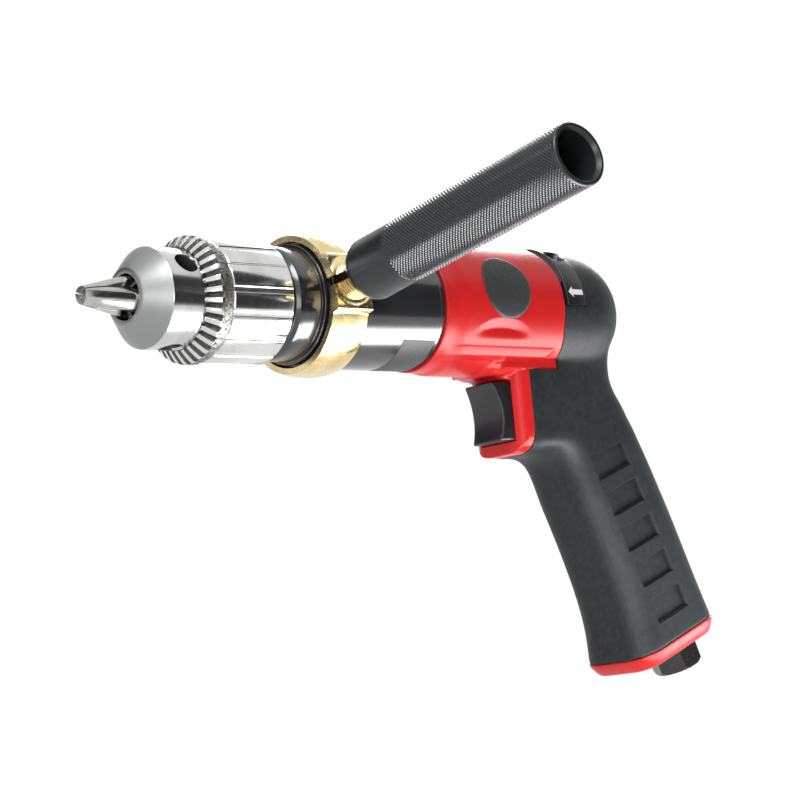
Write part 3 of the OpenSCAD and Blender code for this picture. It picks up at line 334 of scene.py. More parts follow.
def ground_steel(name, dark, light, smooth, dull, lines=(60, 1, 1), depth=0.006):
    """Turned or ground steel: fine lines around the axis, with faint wider bands of gloss."""
    material, tree, shader = new_finish(name, light, smooth, 1.0)
    fine = grain(tree, 150, lines, 3.0)
    bands = grain(tree, 40, (3, 0.6, 0.6))
    dress(tree, shader, bands, dark, light, fine, smooth, dull, depth)
    return material


chuck_steel = ground_steel("chuck_steel_ground", (0.52, 0.53, 0.53), (0.62, 0.62, 0.62), 0.12, 0.22)
nose_steel = ground_steel("chuck_steel_satin", (0.27, 0.28, 0.28), (0.335, 0.34, 0.335), 0.36, 0.48,
                          (40, 1, 1), 0.01)
# A darker steel for the faces inside the key holes and in the slots between the key teeth: painted shade in
# these recesses.
hole_shade_steel = worked_finish("painted_hole_shade", (0.04, 0.04, 0.04), (0.11, 0.11, 0.105), 0.45, 0.8, 900, 0.03)
shade(chuck_body, chuck_steel)
chuck_body.data.materials.append(nose_steel)
chuck_body.data.materials.append(hole_shade_steel)
# The nose cone takes the satin steel, and the faces inside the key holes take the darker steel as painted
# shade.
key_axes = [facing(angle).to_3x3() @ Vector((0, 0, 1)) for angle in KEY_TURNS]
for face in chuck_body.data.polygons:
    middle = face.center / MM
    if middle.x < NOSE_END - 0.15 and middle.yz.length > NOSE_MOUTH_R + 0.1:
        face.material_index = 1
    for axis in key_axes:
        height = middle.dot(axis)
        aside = (middle - axis * height - Vector((KEY_X, 0, 0))).length
        if 8 < height < BODY_R - 0.55 and aside < KEY_R + 0.3:
            face.material_index = 2
stand_for(chuck_body, "chuck", "chuck_steel", "chuck_body")


# Chuck jaws: three hardened and ground steel fingers that slide in the sloping bores.
# Each is a copy of its CAD solid with its edges broken as grinding leaves them.
def copy_solid(name, node, edge):
    piece = into_scene(name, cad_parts[node].data.copy())
    shape = bmesh.new()
    shape.from_mesh(piece.data)
    bmesh.ops.remove_doubles(shape, verts=shape.verts, dist=0.002 * MM)
    bmesh.ops.dissolve_limit(shape, angle_limit=math.radians(0.6), verts=shape.verts, edges=shape.edges)
    shape.to_mesh(piece.data)
    shape.free()
    soften(piece, edge)
    return piece


def soften(piece, width, segments=2, angle=40.0):
    step = piece.modifiers.new("edge", "BEVEL")
    step.width = width * MM
    step.segments = segments
    step.limit_method = "ANGLE"
    step.angle_limit = math.radians(angle)
    step.miter_outer = "MITER_ARC"
    step.use_clamp_overlap = True
    settle(piece)


jaw_steel = ground_steel("jaw_steel_ground", (0.42, 0.41, 0.40), (0.60, 0.59, 0.57), 0.14, 0.26,
                         (4, 40, 40), 0.005)
for i in (1, 2, 3):
    jaw = copy_solid("jaw_%d" % i, "chuck_jaw_%d" % i, 0.16)
    shade(jaw, jaw_steel)
    jaw.data.materials.append(nose_steel)
    for face in jaw.data.polygons:
        if face.normal.x < -0.8:
            face.material_index = 1
    stand_for(jaw, "jaw_%d" % i, "jaw_steel", "chuck_jaw_%d" % i)


# Chuck sleeve: a polished steel shell that turns the jaws' nut. Its bevel teeth, cut for the key, stand on a
# rough forged rim, and sixteen shallow flutes run along it.
KEY_TEETH = 34
FLUTES = 16
FLUTE_DEEP = 0.45
RIM_X = 24.85
SLOT_HALF = 2.8


def new_tree(name, inputs, result):
    """An empty Geometry Nodes tree with named inputs and one shape as its result."""
    tree = bpy.data.node_groups.new(name, "GeometryNodeTree")
    for label, kind in inputs.items():
        tree.interface.new_socket(label, in_out="INPUT", socket_type="NodeSocket" + kind)
    tree.interface.new_socket(result, in_out="OUTPUT", socket_type="NodeSocketGeometry")
    return tree, tree.nodes.new("NodeGroupInput"), tree.nodes.new("NodeGroupOutput")


def reckon(tree, operation, first, second):
    return add(tree, "ShaderNodeMath", {0: first, 1: second}, operation=operation).outputs[0]


def ring_tree(name):
    """Geometry Nodes: copies one sector around the drill axis, joins the copies and sets the finish."""
    inputs = {"Sector": "Geometry", "Count": "Int", "Finish": "Material"}
    tree, start, stop = new_tree(name, inputs, "Ring")
    spots = add(tree, "GeometryNodePoints", {"Count": start.outputs["Count"]})
    index = add(tree, "GeometryNodeInputIndex", {})
    part = reckon(tree, "DIVIDE", index.outputs[0], start.outputs["Count"])
    turned = add(tree, "ShaderNodeCombineXYZ", {"X": reckon(tree, "MULTIPLY", part, math.tau)})
    copies = add(tree, "GeometryNodeInstanceOnPoints",
                 {"Points": spots.outputs[0], "Instance": start.outputs["Sector"],
                  "Rotation": turned.outputs[0]})
    whole = add(tree, "GeometryNodeRealizeInstances", {"Geometry": copies.outputs[0]})
    joined = add(tree, "GeometryNodeMergeByDistance", {"Geometry": whole.outputs[0], "Distance": 0.004 * MM})
    done = add(tree, "GeometryNodeSetMaterial",
               {"Geometry": joined.outputs[0], "Material": start.outputs["Finish"]})
    tree.links.new(done.outputs[0], stop.inputs[0])
    return tree


def run_tree(piece, tree, values):
    """Runs a node tree on a piece with values for its named inputs, and keeps the result as a plain mesh."""
    step = piece.modifiers.new(tree.name, "NODES")
    step.node_group = tree
    for item in tree.interface.items_tree:
        if item.in_out == "INPUT" and item.name in values:
            step[item.identifier] = values[item.name]
    settle(piece)


def sector(name, columns):
    """A sector of a ring: each column is an angle and a closed loop of (x, radius), all of one length."""
    points = []
    for degrees, loop in columns:
        angle = math.radians(degrees)
        points += [(x, r * math.sin(angle), r * math.cos(angle)) for x, r in loop]
    return put(name, points, skin(len(columns), len(columns[0][1])))


ringed = ring_tree("ring_of_sectors")
SLEEVE_R = 21.7
SLEEVE_BORE = 17.35
SLEEVE_END = 55.48
land = [(29.5, SLEEVE_BORE), (20.8, SLEEVE_BORE), (20.8, 17.7), (20.95, 17.95), (22.5, 19.75), (24.0, 21.35),
        (24.35, 21.6), (25.1, 21.78), (26.5, 21.88), (28.2, 21.85), (28.9, 21.7), (29.3, 21.4), (29.5, 20.9)]
gap = [(29.5, SLEEVE_BORE), (22.0, SLEEVE_BORE), (22.0, 17.4), (22.1, 17.5), (23.2, 18.9), (24.3, 20.2),
       (24.7, 20.75), (25.1, 21.78), (26.5, 21.88), (28.2, 21.85), (28.9, 21.7), (29.3, 21.4), (29.5, 20.9)]
pitch = 360 / KEY_TEETH
teeth = sector("key_teeth", [(-pitch / 2, land), (-3.0, land), (-0.7, gap), (0.7, gap), (3.0, land),
                             (pitch / 2, land)])
sleeve_steel = ground_steel("sleeve_steel_polished", (0.60, 0.60, 0.59), (0.72, 0.72, 0.71), 0.1, 0.2,
                            (20, 1, 1), 0.004)
rim_steel, tree, shader = new_finish("forged_rim", (0.34, 0.33, 0.31), 0.48, 1.0)
pits = grain(tree, 1100, detail=4.0)
dress(tree, shader, pits, (0.07, 0.065, 0.055), (0.34, 0.33, 0.30), pits, 0.58, 0.34, 0.22, (0.36, 0.64))
run_tree(teeth, ringed, {"Count": KEY_TEETH, "Finish": sleeve_steel})
soften(teeth, 0.13, 2, 38)
pitch = 360 / FLUTES
shell = [(29.3, 20.4), (29.3, 20.9), (29.55, 21.4), (29.9, SLEEVE_R), (54.7, SLEEVE_R), (55.3, 21.4),
         (SLEEVE_END, 20.8), (SLEEVE_END, SLEEVE_BORE), (54.08, SLEEVE_BORE), (54.08, 19.6), (29.6, 19.6)]
flute = [(x, min(r, SLEEVE_R - FLUTE_DEEP)) for x, r in shell]
columns = [(-pitch / 2, shell), (-8.6, shell), (-5.8, shell), (-3.0, shell), (-2.35, flute), (0, flute),
           (2.35, flute), (3.0, shell), (5.8, shell), (8.6, shell), (pitch / 2, shell)]
fluted = sector("sleeve_shell", columns)
run_tree(fluted, ringed, {"Count": FLUTES, "Finish": sleeve_steel})
soften(fluted, 0.12, 2, 30)
for part in (teeth, fluted):
    close_up(part)
    shade(part, sleeve_steel, 30)
teeth.data.materials.append(rim_steel)
teeth.data.materials.append(hole_shade_steel)
# The forged rim takes its own finish, and the faces in the slots between the key teeth take the darker steel
# as painted shade.
for face in teeth.data.polygons:
    middle = face.center / MM
    turned = math.degrees(math.atan2(middle.y, middle.z)) % (360 / KEY_TEETH)
    off_slot = min(turned, 360 / KEY_TEETH - turned)
    if middle.x > RIM_X:
        face.material_index = 1
    elif off_slot < SLOT_HALF:
        face.material_index = 2
stand_for(teeth, "sleeve", "chuck_steel")
stand_for(fluted, "sleeve", "chuck_steel", "chuck_sleeve")


# Handle collar: a cast and machined brass clamp ring on the gear case, split on the side handle's line.
# Its two half bosses carry the thread that the handle screws on, and close the split as it tightens.
COLLAR_X = 70.48
COLLAR_LEN = 15.8
COLLAR_MID = COLLAR_X + COLLAR_LEN / 2
COLLAR_END = COLLAR_X + COLLAR_LEN
COLLAR_R = 25.2
HANDLE_START = 33.0
HANDLE_RISE = math.radians(9.5)
BOSS_R = 7.2
SPLIT = 3.2
aim = Vector((0, -math.cos(HANDLE_RISE), math.sin(HANDLE_RISE)))
across = Vector((1, 0, 0))
beside = aim.cross(across)
handle_place = Matrix.Translation((COLLAR_MID, 0, 0)) @ Matrix((across, beside, aim)).transposed().to_4x4()


def slab(name, low, high, place=Matrix.Identity(4), edge=0.0, segments=3):
    """A block between two corners in millimetres, with rounded edges, put in place by a matrix."""
    x0, y0, z0 = low
    x1, y1, z1 = high
    points = [(x, y, z) for x in (x0, x1) for y in (y0, y1) for z in (z0, z1)]
    faces = [(0, 1, 3, 2), (4, 6, 7, 5), (0, 4, 5, 1), (2, 3, 7, 6), (0, 2, 6, 4), (1, 5, 7, 3)]
    piece = put(name, [place @ Vector(p) for p in points], faces)
    if edge:
        soften(piece, edge, segments)
    return piece


def gather(piece, *others):
    """Takes other shapes into a piece's mesh, for a melt that makes one solid of them."""
    shape = bmesh.new()
    for part in (piece, *others):
        shape.from_mesh(part.data)
    shape.to_mesh(piece.data)
    shape.free()
    for other in others:
        bpy.data.objects.remove(other)


def melt(piece, voxel, rounds):
    """Makes one solid of overlapping shapes on a fine grid, and eases the corners between them."""
    step = piece.modifiers.new("voxels", "REMESH")
    step.mode = "VOXEL"
    step.voxel_size = voxel * MM
    step = piece.modifiers.new("ease", "SMOOTH")
    step.factor = 0.5
    step.iterations = rounds
    settle(piece)


def thin(piece, keep):
    step = piece.modifiers.new("fewer", "DECIMATE")
    step.ratio = keep
    settle(piece)


ring_outline = [(COLLAR_X - 1, 20.5), (COLLAR_X - 1, COLLAR_R - 1.3), (COLLAR_X + 4.2, COLLAR_R, 4.0),
                (COLLAR_END - 4.2, COLLAR_R, 4.0), (COLLAR_END + 1, COLLAR_R - 1.3), (COLLAR_END + 1, 20.5)]
collar = turn("brass_collar", eased(ring_outline, 0.5, 6), 160)
skirt = [(14.0, AXIS), (14.0, 10.2), (24.4, 9.6), (25.4, 8.6), (26.0, 7.0), (26.0, AXIS)]
skirt = upright("skirt", eased(skirt, 1.4), 96, handle_place)
shoulder = slab("shoulder", (-9.0, -10.5, 15.0), (9.0, 10.5, 24.9), handle_place, 1.2, 4)
gather(collar, skirt, shoulder)
melt(collar, 0.34, 6)
SPLIT_LOW = (-40, -SPLIT / 2, 8)
SPLIT_HIGH = (40, SPLIT / 2, 60)
bore = turn("bore", rod(40, 110, CASE_R + 0.06), 160)
front = turn("front", rod(40, COLLAR_X, 80), 32)
back = turn("back", rod(COLLAR_END, 120, 80), 32)
cut(collar, bore, front, back, slab("split", SPLIT_LOW, SPLIT_HIGH, handle_place))
thin(collar, 0.6)
THREAD_ROOT = BOSS_R - 0.7
THREAD_PITCH = 1.2
thread = [(18.0, AXIS), (18.0, THREAD_ROOT)]
for k in range(10):
    height = 22.0 + THREAD_PITCH * k
    thread += [(height, THREAD_ROOT), (height + 0.45, BOSS_R), (height + 0.75, BOSS_R)]
thread += [(49.0, THREAD_ROOT), (49.0, AXIS)]
boss = upright("brass_boss", thread, 64, handle_place)
cut(boss, turn("bore", rod(40, 110, CASE_R + 0.3), 160), slab("split", SPLIT_LOW, SPLIT_HIGH, handle_place))
brass, tree, shader = new_finish("polished_brass", (0.80, 0.64, 0.34), 0.2, 1.0)
cast = grain(tree, 700, detail=3.0)
cloud = grain(tree, 70)
dress(tree, shader, cloud, (0.72, 0.55, 0.26), (0.88, 0.73, 0.44), cast, 0.3, 0.15, 0.025)
for part in (collar, boss):
    shade(part, brass, 40)
stand_for(collar, "collar", "brass", "handle_collar")
stand_for(boss, "collar", "brass")


# Side handle: a hollow steel tube, knurled for grip and blacked, that screws on the collar's boss.
# It has a plain rounded band at the collar and a bored, chamfered open end.
HANDLE_R = 11.0
HANDLE_END = 140.0
KNURL_START = 54.6
KNURL_END = 138.9
KNURL_COUNT = 48
KNURL_BASE = 10.7


def knurl_tree():
    """Geometry Nodes: raises each lozenge of a sheet and narrows its top, as a knurling tool leaves it."""
    inputs = {"Sheet": "Geometry", "Height": "Float", "Top": "Float", "Finish": "Material"}
    tree, start, stop = new_tree("knurl_lozenges", inputs, "Knurl")
    marked = add(tree, "GeometryNodeInputNamedAttribute", {"Name": "lozenge"}, data_type="BOOLEAN")
    raised = add(tree, "GeometryNodeExtrudeMesh",
                 {"Mesh": start.outputs["Sheet"], "Selection": marked.outputs["Attribute"],
                  "Offset Scale": start.outputs["Height"], "Individual": True}, mode="FACES")
    tops = add(tree, "GeometryNodeScaleElements",
               {"Geometry": raised.outputs["Mesh"], "Selection": raised.outputs["Top"],
                "Scale": start.outputs["Top"]}, domain="FACE")
    whole = add(tree, "GeometryNodeRealizeInstances", {"Geometry": tops.outputs[0]})
    done = add(tree, "GeometryNodeSetMaterial",
               {"Geometry": whole.outputs[0], "Material": start.outputs["Finish"]})
    tree.links.new(done.outputs[0], stop.inputs[0])
    return tree


def lozenge_sleeve(name, start, stop, radius, inner, count):
    """A closed tube about +Z whose outside is a net of lozenges, marked so that the tree can raise them."""
    step = math.pi * radius / count
    rows = 2 * round((stop - start) / step / 2)
    points = []
    for j in range(rows + 1):
        height = start + (stop - start) * j / rows
        for k in range(count):
            angle = 2 * math.pi * (k + 0.5 * (j % 2)) / count
            points.append((radius * math.cos(angle), radius * math.sin(angle), height))
    for height in (start, stop):
        for k in range(count):
            angle = 2 * math.pi * k / count
            points.append((inner * math.cos(angle), inner * math.sin(angle), height))

    def at(j, k):
        return j * count + k % count
    faces = []
    for j in range(1, rows):
        for k in range(count):
            side = k - 1 if j % 2 else k
            faces.append((at(j - 1, k), at(j, side + 1), at(j + 1, k), at(j, side)))
    lozenges = len(faces)
    low = (rows + 1) * count
    high = low + count
    for k in range(count):
        n = (k + 1) % count
        faces.append((at(0, k), at(0, n), at(1, k)))
        faces.append((at(rows, n), at(rows, k), at(rows - 1, k)))
        faces.append((low + k, low + n, at(0, n), at(0, k)))
        faces.append((high + n, high + k, at(rows, k), at(rows, n)))
        faces.append((low + n, low + k, high + k, high + n))
    mesh = bpy.data.meshes.new(name)
    mesh.from_pydata([handle_place @ Vector(p) * MM for p in points], [], faces)
    mesh.attributes.new("lozenge", "BOOLEAN", "FACE")
    mesh.attributes["lozenge"].data.foreach_set("value", [i < lozenges for i in range(len(faces))])
    piece = into_scene(name, mesh)
    shape = bmesh.new()
    shape.from_mesh(mesh)
    bmesh.ops.recalc_face_normals(shape, faces=shape.faces)
    shape.to_mesh(mesh)
    shape.free()
    return piece


handle_outline = [
    (HANDLE_START, 7.3), (HANDLE_START, 7.9, 0.3), (33.7, 9.5, 1.0), (36.1, HANDLE_R, 1.9),
    (KNURL_START, 10.88, 0.2), (KNURL_START + 0.6, 10.65, 0.1), (KNURL_END - 0.1, 10.65, 0.1),
    (KNURL_END, 10.9, 0.1), (139.6, 10.8, 0.1), (HANDLE_END, 10.4, 0.2), (HANDLE_END, 9.5, 0.2),
    (138.4, 8.4, 0.3), (122.0, 8.3, 0.4), (121.0, 7.3, 0.4)]
handle = upright("handle_tube", eased(handle_outline, 0.3, 4), 128, handle_place)
handle_steel, tree, shader = new_finish("blacked_steel", (0.04, 0.042, 0.045), 0.34, 0.6)
oxide = grain(tree, 500, detail=3.0)
cloud = grain(tree, 45)
dress(tree, shader, cloud, (0.032, 0.034, 0.036), (0.050, 0.053, 0.056), oxide, 0.42, 0.28, 0.012)
knurl_steel, tree, shader = new_finish("knurled_steel", (0.08, 0.083, 0.086), 0.25, 0.95)
worn = grain(tree, 1600)
dress(tree, shader, worn, (0.048, 0.051, 0.053), (0.076, 0.079, 0.081), worn, 0.26, 0.18, 0.004)
knurl = lozenge_sleeve("handle_knurl", KNURL_START + 0.2, KNURL_END - 0.05, KNURL_BASE, 10.5, KNURL_COUNT)
run_tree(knurl, knurl_tree(), {"Height": 0.3 * MM, "Top": 0.3, "Finish": knurl_steel})
shade(handle, handle_steel)
shade(knurl, knurl_steel, 20)
stand_for(handle, "handle", "handle_steel", "side_handle")
stand_for(knurl, "handle", "handle_steel")


# Motor housing: one glass filled nylon moulding, red, with the motor barrel, the hood and frame around the
# trigger and the saddle over the grip. Its sides are scooped above a ledge, and each has a bare oval badge.
HOUSE_R = 23.5
HOUSE_RISE = 2.2
HOUSE_END = 183.48
FRAME_X = 164.98
FRAME_END = 170.98
FRAME_HALF = 13.85
PANEL_HALF = 13.9
LEDGE_LOW = -18.4
TRIGGER_HALF = 9.0
GASKET_R = 22.4
SCOOP = 1.6
SCOOP_ALONG = (137, 146, 160, 169)
JOINT_BACK = 2
JOINT_DOWN = (6, 20, 30, 40)


def round_box(x0, x1, half, r, steps=8):
    """A rectangle with round corners as points of (x, y)."""
    points = []
    corners = ((x1 - r, half - r), (x0 + r, half - r), (x0 + r, r - half), (x1 - r, r - half))
    for c, (cx, cy) in enumerate(corners):
        for k in range(steps + 1):
            angle = math.pi / 2 * (c + k / steps)
            points.append((cx + r * math.cos(angle), cy + r * math.sin(angle)))
    return points


def loft(name, rings, place=Matrix.Identity(4)):
    """Joins rings of (x, y, z) points of one count into a closed skin with flat ends."""
    points = [place @ Vector(p) for ring in rings for p in ring]
    return put(name, points, skin(len(rings), len(rings[0]), ends=True))


def prism(name, outline, low, high, place=Matrix.Identity(4)):
    """A closed outline of (x, z) drawn out along Y between two places."""
    return loft(name, [[(p[0], y, p[1]) for p in outline] for y in (low, high)], place)


def keep_plan(piece, plan):
    """Keeps what lies inside a plan of (x, y) points, as far as the trigger frame reaches down."""
    cut(piece, loft("plan", [[(x, y, z) for x, y in plan] for z in (-60, 0)]), operation="INTERSECT")


def ramp(value, start, stop):
    """Rises smoothly from 0 at start to 1 at stop."""
    t = min(max((value - start) / (stop - start), 0), 1)
    return t * t * (3 - 2 * t)


def window(value, start, full, fade, stop):
    """Rises smoothly to 1 between start and full, and falls back to 0 between fade and stop."""
    return ramp(value, start, full) * (1 - ramp(value, fade, stop))


def reshape(piece, rule):
    """Moves each point of a piece by a rule that takes and gives millimetres."""
    for vertex in piece.data.vertices:
        vertex.co = rule(vertex.co / MM) * MM
    piece.data.update()


def rise(x):
    """How much the housing's top is drawn up at a place along the drill."""
    return 1 + HOUSE_RISE / HOUSE_R * ramp(x, 130, 146)


def housing_form(p):
    """Draws the barrel's top up, sinks the scoops and brings the ledges out."""
    side = 1 if p.y > 0 else -1
    if p.z > 0:
        p.z *= rise(p.x)
    if abs(p.y) > 10 and p.z < 2:
        brow = 5 + 5 * ((p.x - 153) / 15) ** 2
        scoop = window(p.x, *SCOOP_ALONG) * window(-p.z, brow, brow + 4.5, 8.5, 13.4)
        slant = 0.9 * (p.z + 16)
        ledge = window(p.x, 126.5, 135, 179 + slant, 181 + slant)
        ledge *= 0.2 * ramp(-p.z, 13.8, 16) + 1.3 * min(max((-p.z - 15.2) / 3.2, 0), 1)
        ledge *= 1 - ramp(-p.z, 18.5, 20)
        p.y += side * (ledge - SCOOP * scoop)
    return p


def rear_form(p):
    """Leads the joint between the housing and the rubber further back below the drill axis."""
    near = window(p.x, 172, HOUSE_END, HOUSE_END + 0.2, 197) * ramp(p.yz.length, 21.8, 22.8)
    p.x += JOINT_BACK * near * window(-p.z, *JOINT_DOWN)
    return p


barrel = [(CASE_END, AXIS), (CASE_END, 22.5, 0.3), (131.5, 22.5, 1.5), (134.5, HOUSE_R, 1.5),
          (HOUSE_END, HOUSE_R, 0.4), (HOUSE_END, AXIS)]
housing = turn("housing_moulding", eased(barrel, 0.2, 5), 160)
along_x = Matrix(((0, -1, 0, 0), (1, 0, 0, 0), (0, 0, 1, 0), (0, 0, 0, 1)))
frame_outline = [(-FRAME_HALF, -10, 0), (FRAME_HALF, -10, 0), (FRAME_HALF, -53), (-FRAME_HALF, -53)]
frame_bar = prism("frame_bar", eased(frame_outline, 9.5, 8), -FRAME_END, -FRAME_X, along_x)
keep_plan(frame_bar, round_box(FRAME_X, FRAME_X + 30, FRAME_HALF + 0.02, 5.8))
saddle = slab("saddle", (158.0, -PANEL_HALF, -22.5), (HOUSE_END, PANEL_HALF, 0))
HOOD_END = 170.5
HOOD = ((-10, 147.5, 14.3, 14), (-18.5, 147.5, 14.3, 14), (-20.8, 149, 14.0, 13), (-22.0, 150.5, 13.2, 11),
        (-23.0, 152.5, 11.8, 9), (-24.0, 155.5, 10.2, 6), (-24.4, 160.6, 9.6, 3), (-25.6, 161.5, 9.4, 3))
hood_rings = []
for z, x, half, bow in HOOD:
    ring = [(HOOD_END, -half, z)]
    for k in range(13):
        t = math.pi * (k / 12 - 0.5)
        ring.append((x + bow * (1 - math.cos(t)), half * math.sin(t), z))
    hood_rings.append(ring + [(HOOD_END, half, z)])
hood = loft("hood", hood_rings)
gather(housing, frame_bar, saddle, hood)
melt(housing, 0.32, 3)
reshape(housing, housing_form)
tools = []
for low, high in ((PANEL_HALF, 40), (-40, -PANEL_HALF)):
    tools.append(slab("flat", (158.5, low, -40), (HOUSE_END + 2, high, LEDGE_LOW)))
tools.append(slab("pocket", (FRAME_X - 3, -TRIGGER_HALF - 0.3, -48.6), (175.98, TRIGGER_HALF + 0.3, -26.2)))
bore = [(120, AXIS), (120, 21.25), (CASE_END + 0.4, 21.02), (135.7, 21.02), (135.7, MOTOR_R),
        (171.5, MOTOR_R), (171.5, AXIS)]
tools.append(turn("bore", bore, 160))
groove = [(HOUSE_END - 7 * (z / 25.7) ** 3, z) for z in (3, 8, 12, 15, 18, 20, 22, 24, 26.4)]
groove = prism("groove", [(HOUSE_END + 2, 3)] + groove + [(HOUSE_END + 2, 26.4)], -40, 40)
cut(groove, turn("groove_floor", rod(150, 200, GASKET_R), 160))
tools.append(groove)
cut(housing, *tools)
thin(housing, 0.5)
reshape(housing, rear_form)
neck_outline = [(HOUSE_END - 8, 17.0), (HOUSE_END - 8, 20.05), (194.68, 20.05), (194.68, 17.0)]
neck = turn("housing_neck", eased(neck_outline, 0.2), 128)
red, tree, shader = new_finish("red_nylon", (0.64, 0.014, 0.016), 0.34, extra={"Specular IOR Level": 0.32})
fine = grain(tree, 1500, detail=3.0)
flow = grain(tree, 30)
dress(tree, shader, flow, (0.55, 0.012, 0.013), (0.63, 0.018, 0.018), fine, 0.38, 0.28, 0.025)
for part in (housing, neck):
    shade(part, red, 40)
stand_for(housing, "drill", "red_plastic", "motor_housing")
stand_for(neck, "drill", "red_plastic")
gasket_outline = [(174.5, 21.9), (174.5, GASKET_R + 0.05), (HOUSE_END + 0.3, GASKET_R + 0.05),
                  (HOUSE_END + 0.3, 21.9)]
gasket = turn("rear_gasket", eased(gasket_outline, 0.15), 160)
shade(gasket, seal_rubber)
stand_for(gasket, "drill", "rubber")
BADGE_X = 155.0
BADGE_TURN = 13.5
BADGE_LONG = 11.4
BADGE_TALL = 11.6
BADGE_STEPS = ((1.0, -1.2), (1.0, 0.25), (0.97, 0.5), (0.92, 0.62), (0.85, 0.66), (0.7, 0.68), (0.55, 0.7),
               (0.4, 0.7), (0.25, 0.7), (0.1, 0.7), (0.02, 0.7))
BADGE_SIDES = 72
badge_finish = worked_finish("badge_plastic", (0.015, 0.016, 0.017), (0.024, 0.025, 0.026), 0.55, 0.0, 1100,
                             0.02)
for name, side in (("badge_left", -1), ("badge_right", 1)):
    rings = []
    for size, height in BADGE_STEPS:
        ring = []
        for k in range(BADGE_SIDES):
            angle = 2 * math.pi * k / BADGE_SIDES
            over = math.radians(BADGE_TURN) + size * BADGE_TALL * math.sin(angle) / HOUSE_R
            along = BADGE_X + size * BADGE_LONG * math.cos(angle)
            lift = rise(along) if over > 0 else 1
            radius = HOUSE_R + height
            ring.append((along, side * radius * math.cos(over), lift * radius * math.sin(over)))
        rings.append(ring)
    badge = loft(name, rings)
    shade(badge, badge_finish)
    stand_for(badge, "drill", "black_plastic")


# Trigger: a black acetal moulding, hollowed for the finger, that slides in the frame and pushes the stem.
# Its face is narrower than its foot, so a crease runs down each side where the walls spread.
TRIGGER_X = FRAME_X - 8
TRIGGER_FRONT = 7.1
TRIGGER_LEAN = 2.0
TRIGGER_HOLLOW = 2.9
TRIGGER_TOP = -26.5
TRIGGER_H = 21.8
TRIGGER_BACK = 170.4
face_line = []
for k in range(15):
    t = k / 14
    x = TRIGGER_X + TRIGGER_LEAN * t + 4 * TRIGGER_HOLLOW * t * (1 - t)
    face_line.append((x, TRIGGER_TOP - TRIGGER_H * t))
outline = face_line + [(TRIGGER_BACK, TRIGGER_TOP - TRIGGER_H), (TRIGGER_BACK, TRIGGER_TOP)]
trigger = prism("trigger_lever", outline, -TRIGGER_HALF, TRIGGER_HALF)
keep_plan(trigger, [(TRIGGER_X - 0.1, -TRIGGER_FRONT), (FRAME_X, -TRIGGER_HALF), (172, -TRIGGER_HALF),
                    (172, TRIGGER_HALF), (FRAME_X, TRIGGER_HALF), (TRIGGER_X - 0.1, TRIGGER_FRONT)])
soften(trigger, 1.2, 4, 45)
acetal, tree, shader = new_finish("black_acetal", (0.018, 0.018, 0.021), 0.33)
fine = grain(tree, 1600, detail=3.0)
rubbed = grain(tree, 60)
dress(tree, shader, rubbed, (0.010, 0.010, 0.0125), (0.019, 0.019, 0.0225), fine, 0.4, 0.27, 0.02)
shade(trigger, acetal, 40)
stand_for(trigger, "trigger", "black_plastic", "trigger")


# Throttle spring: a coil of round spring steel wire behind the throttle valve, which brings the trigger back.
# Its rear end rests in the housing's valve block. The coil is built at its rest length and does not shorten
# as the trigger moves.
COIL_X = 191.376
COIL_RISE = 12.9
COIL_Z = -37.4
COIL_R = 5.05
WIRE_R = 0.5
WIRE_SIDES = 10
COIL_TURNS = 6
TURN_STEPS = 24
coil_steps = COIL_TURNS * TURN_STEPS
rings = []
for i in range(coil_steps + 1):
    a = math.tau * i / TURN_STEPS
    ring = []
    for j in range(WIRE_SIDES):
        b = math.tau * j / WIRE_SIDES
        r = COIL_R + WIRE_R * math.cos(b)
        x = COIL_X + COIL_RISE * i / coil_steps + WIRE_R * math.sin(b)
        ring.append((x, r * math.cos(a), COIL_Z + r * math.sin(a)))
    rings.append(ring)
coil = loft("throttle_coil", rings)
shade(coil, gear_steel, 40)
stand_for(coil, "drill", "steel", "throttle_spring")
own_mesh(coil)


# Reverse ring: a black moulded band behind the housing, turned by its two raised tabs to change direction.
# A pin set in a scallop drives the valve, and a plain white arrow is printed on each tab.
RING_X = 183.98
RING_END = 194.48
BAND_R = 23.45
TAB_R = 24.3
TAB_TURN = 22
BAND_LIFT = 1 + (HOUSE_RISE - 0.3) / HOUSE_R


def band_form(p):
    if p.z > 0 and p.yz.length > 22:
        p.z *= BAND_LIFT
    return p


tube_outline = [(RING_X, 20.15), (RING_X, 21.25), (RING_END, 21.25), (RING_END, 20.15)]
tube = turn("reverse_tube", eased(tube_outline, 0.2), 128)
band_outline = [(RING_X, 20.8), (RING_X, 22.3, 0.1), (RING_X + 1.5, 22.4, 0.2), (RING_X + 1.9, BAND_R, 0.3),
                (RING_END, BAND_R, 0.3), (RING_END, 20.8)]
parts = [turn("reverse_band", eased(band_outline, 0.2), 96, 0, 180)]
for first in (0, 180 - TAB_TURN):
    tab = [(RING_X + 0.6, 21), (RING_X + 0.6, TAB_R, 0.6), (RING_END - 0.6, TAB_R, 0.6), (RING_END - 0.6, 21)]
    parts.append(turn("tab", eased(tab, 0.3), 14, first, first + TAB_TURN))
for part in parts:
    reshape(part, band_form)
cut(tube, *parts, operation="UNION")
scallop = [(21.9, AXIS), (21.9, 2.7), (22.6, 3.1), (24.4, 4.2), (27, 6.4), (27, AXIS)]
scallop = upright("scallop", scallop, 48, facing(57) @ Matrix.Translation((190.6, 0, 0)))
cut(tube, scallop)
soften(tube, 0.25, 2, 45)
shade(tube, acetal, 35)
stand_for(tube, "reverse", "black_plastic", "reverse_ring")
white_print, tree, shader = new_finish("white_print", (0.80, 0.80, 0.79), 0.5)
fine = grain(tree, 900, detail=3.0)
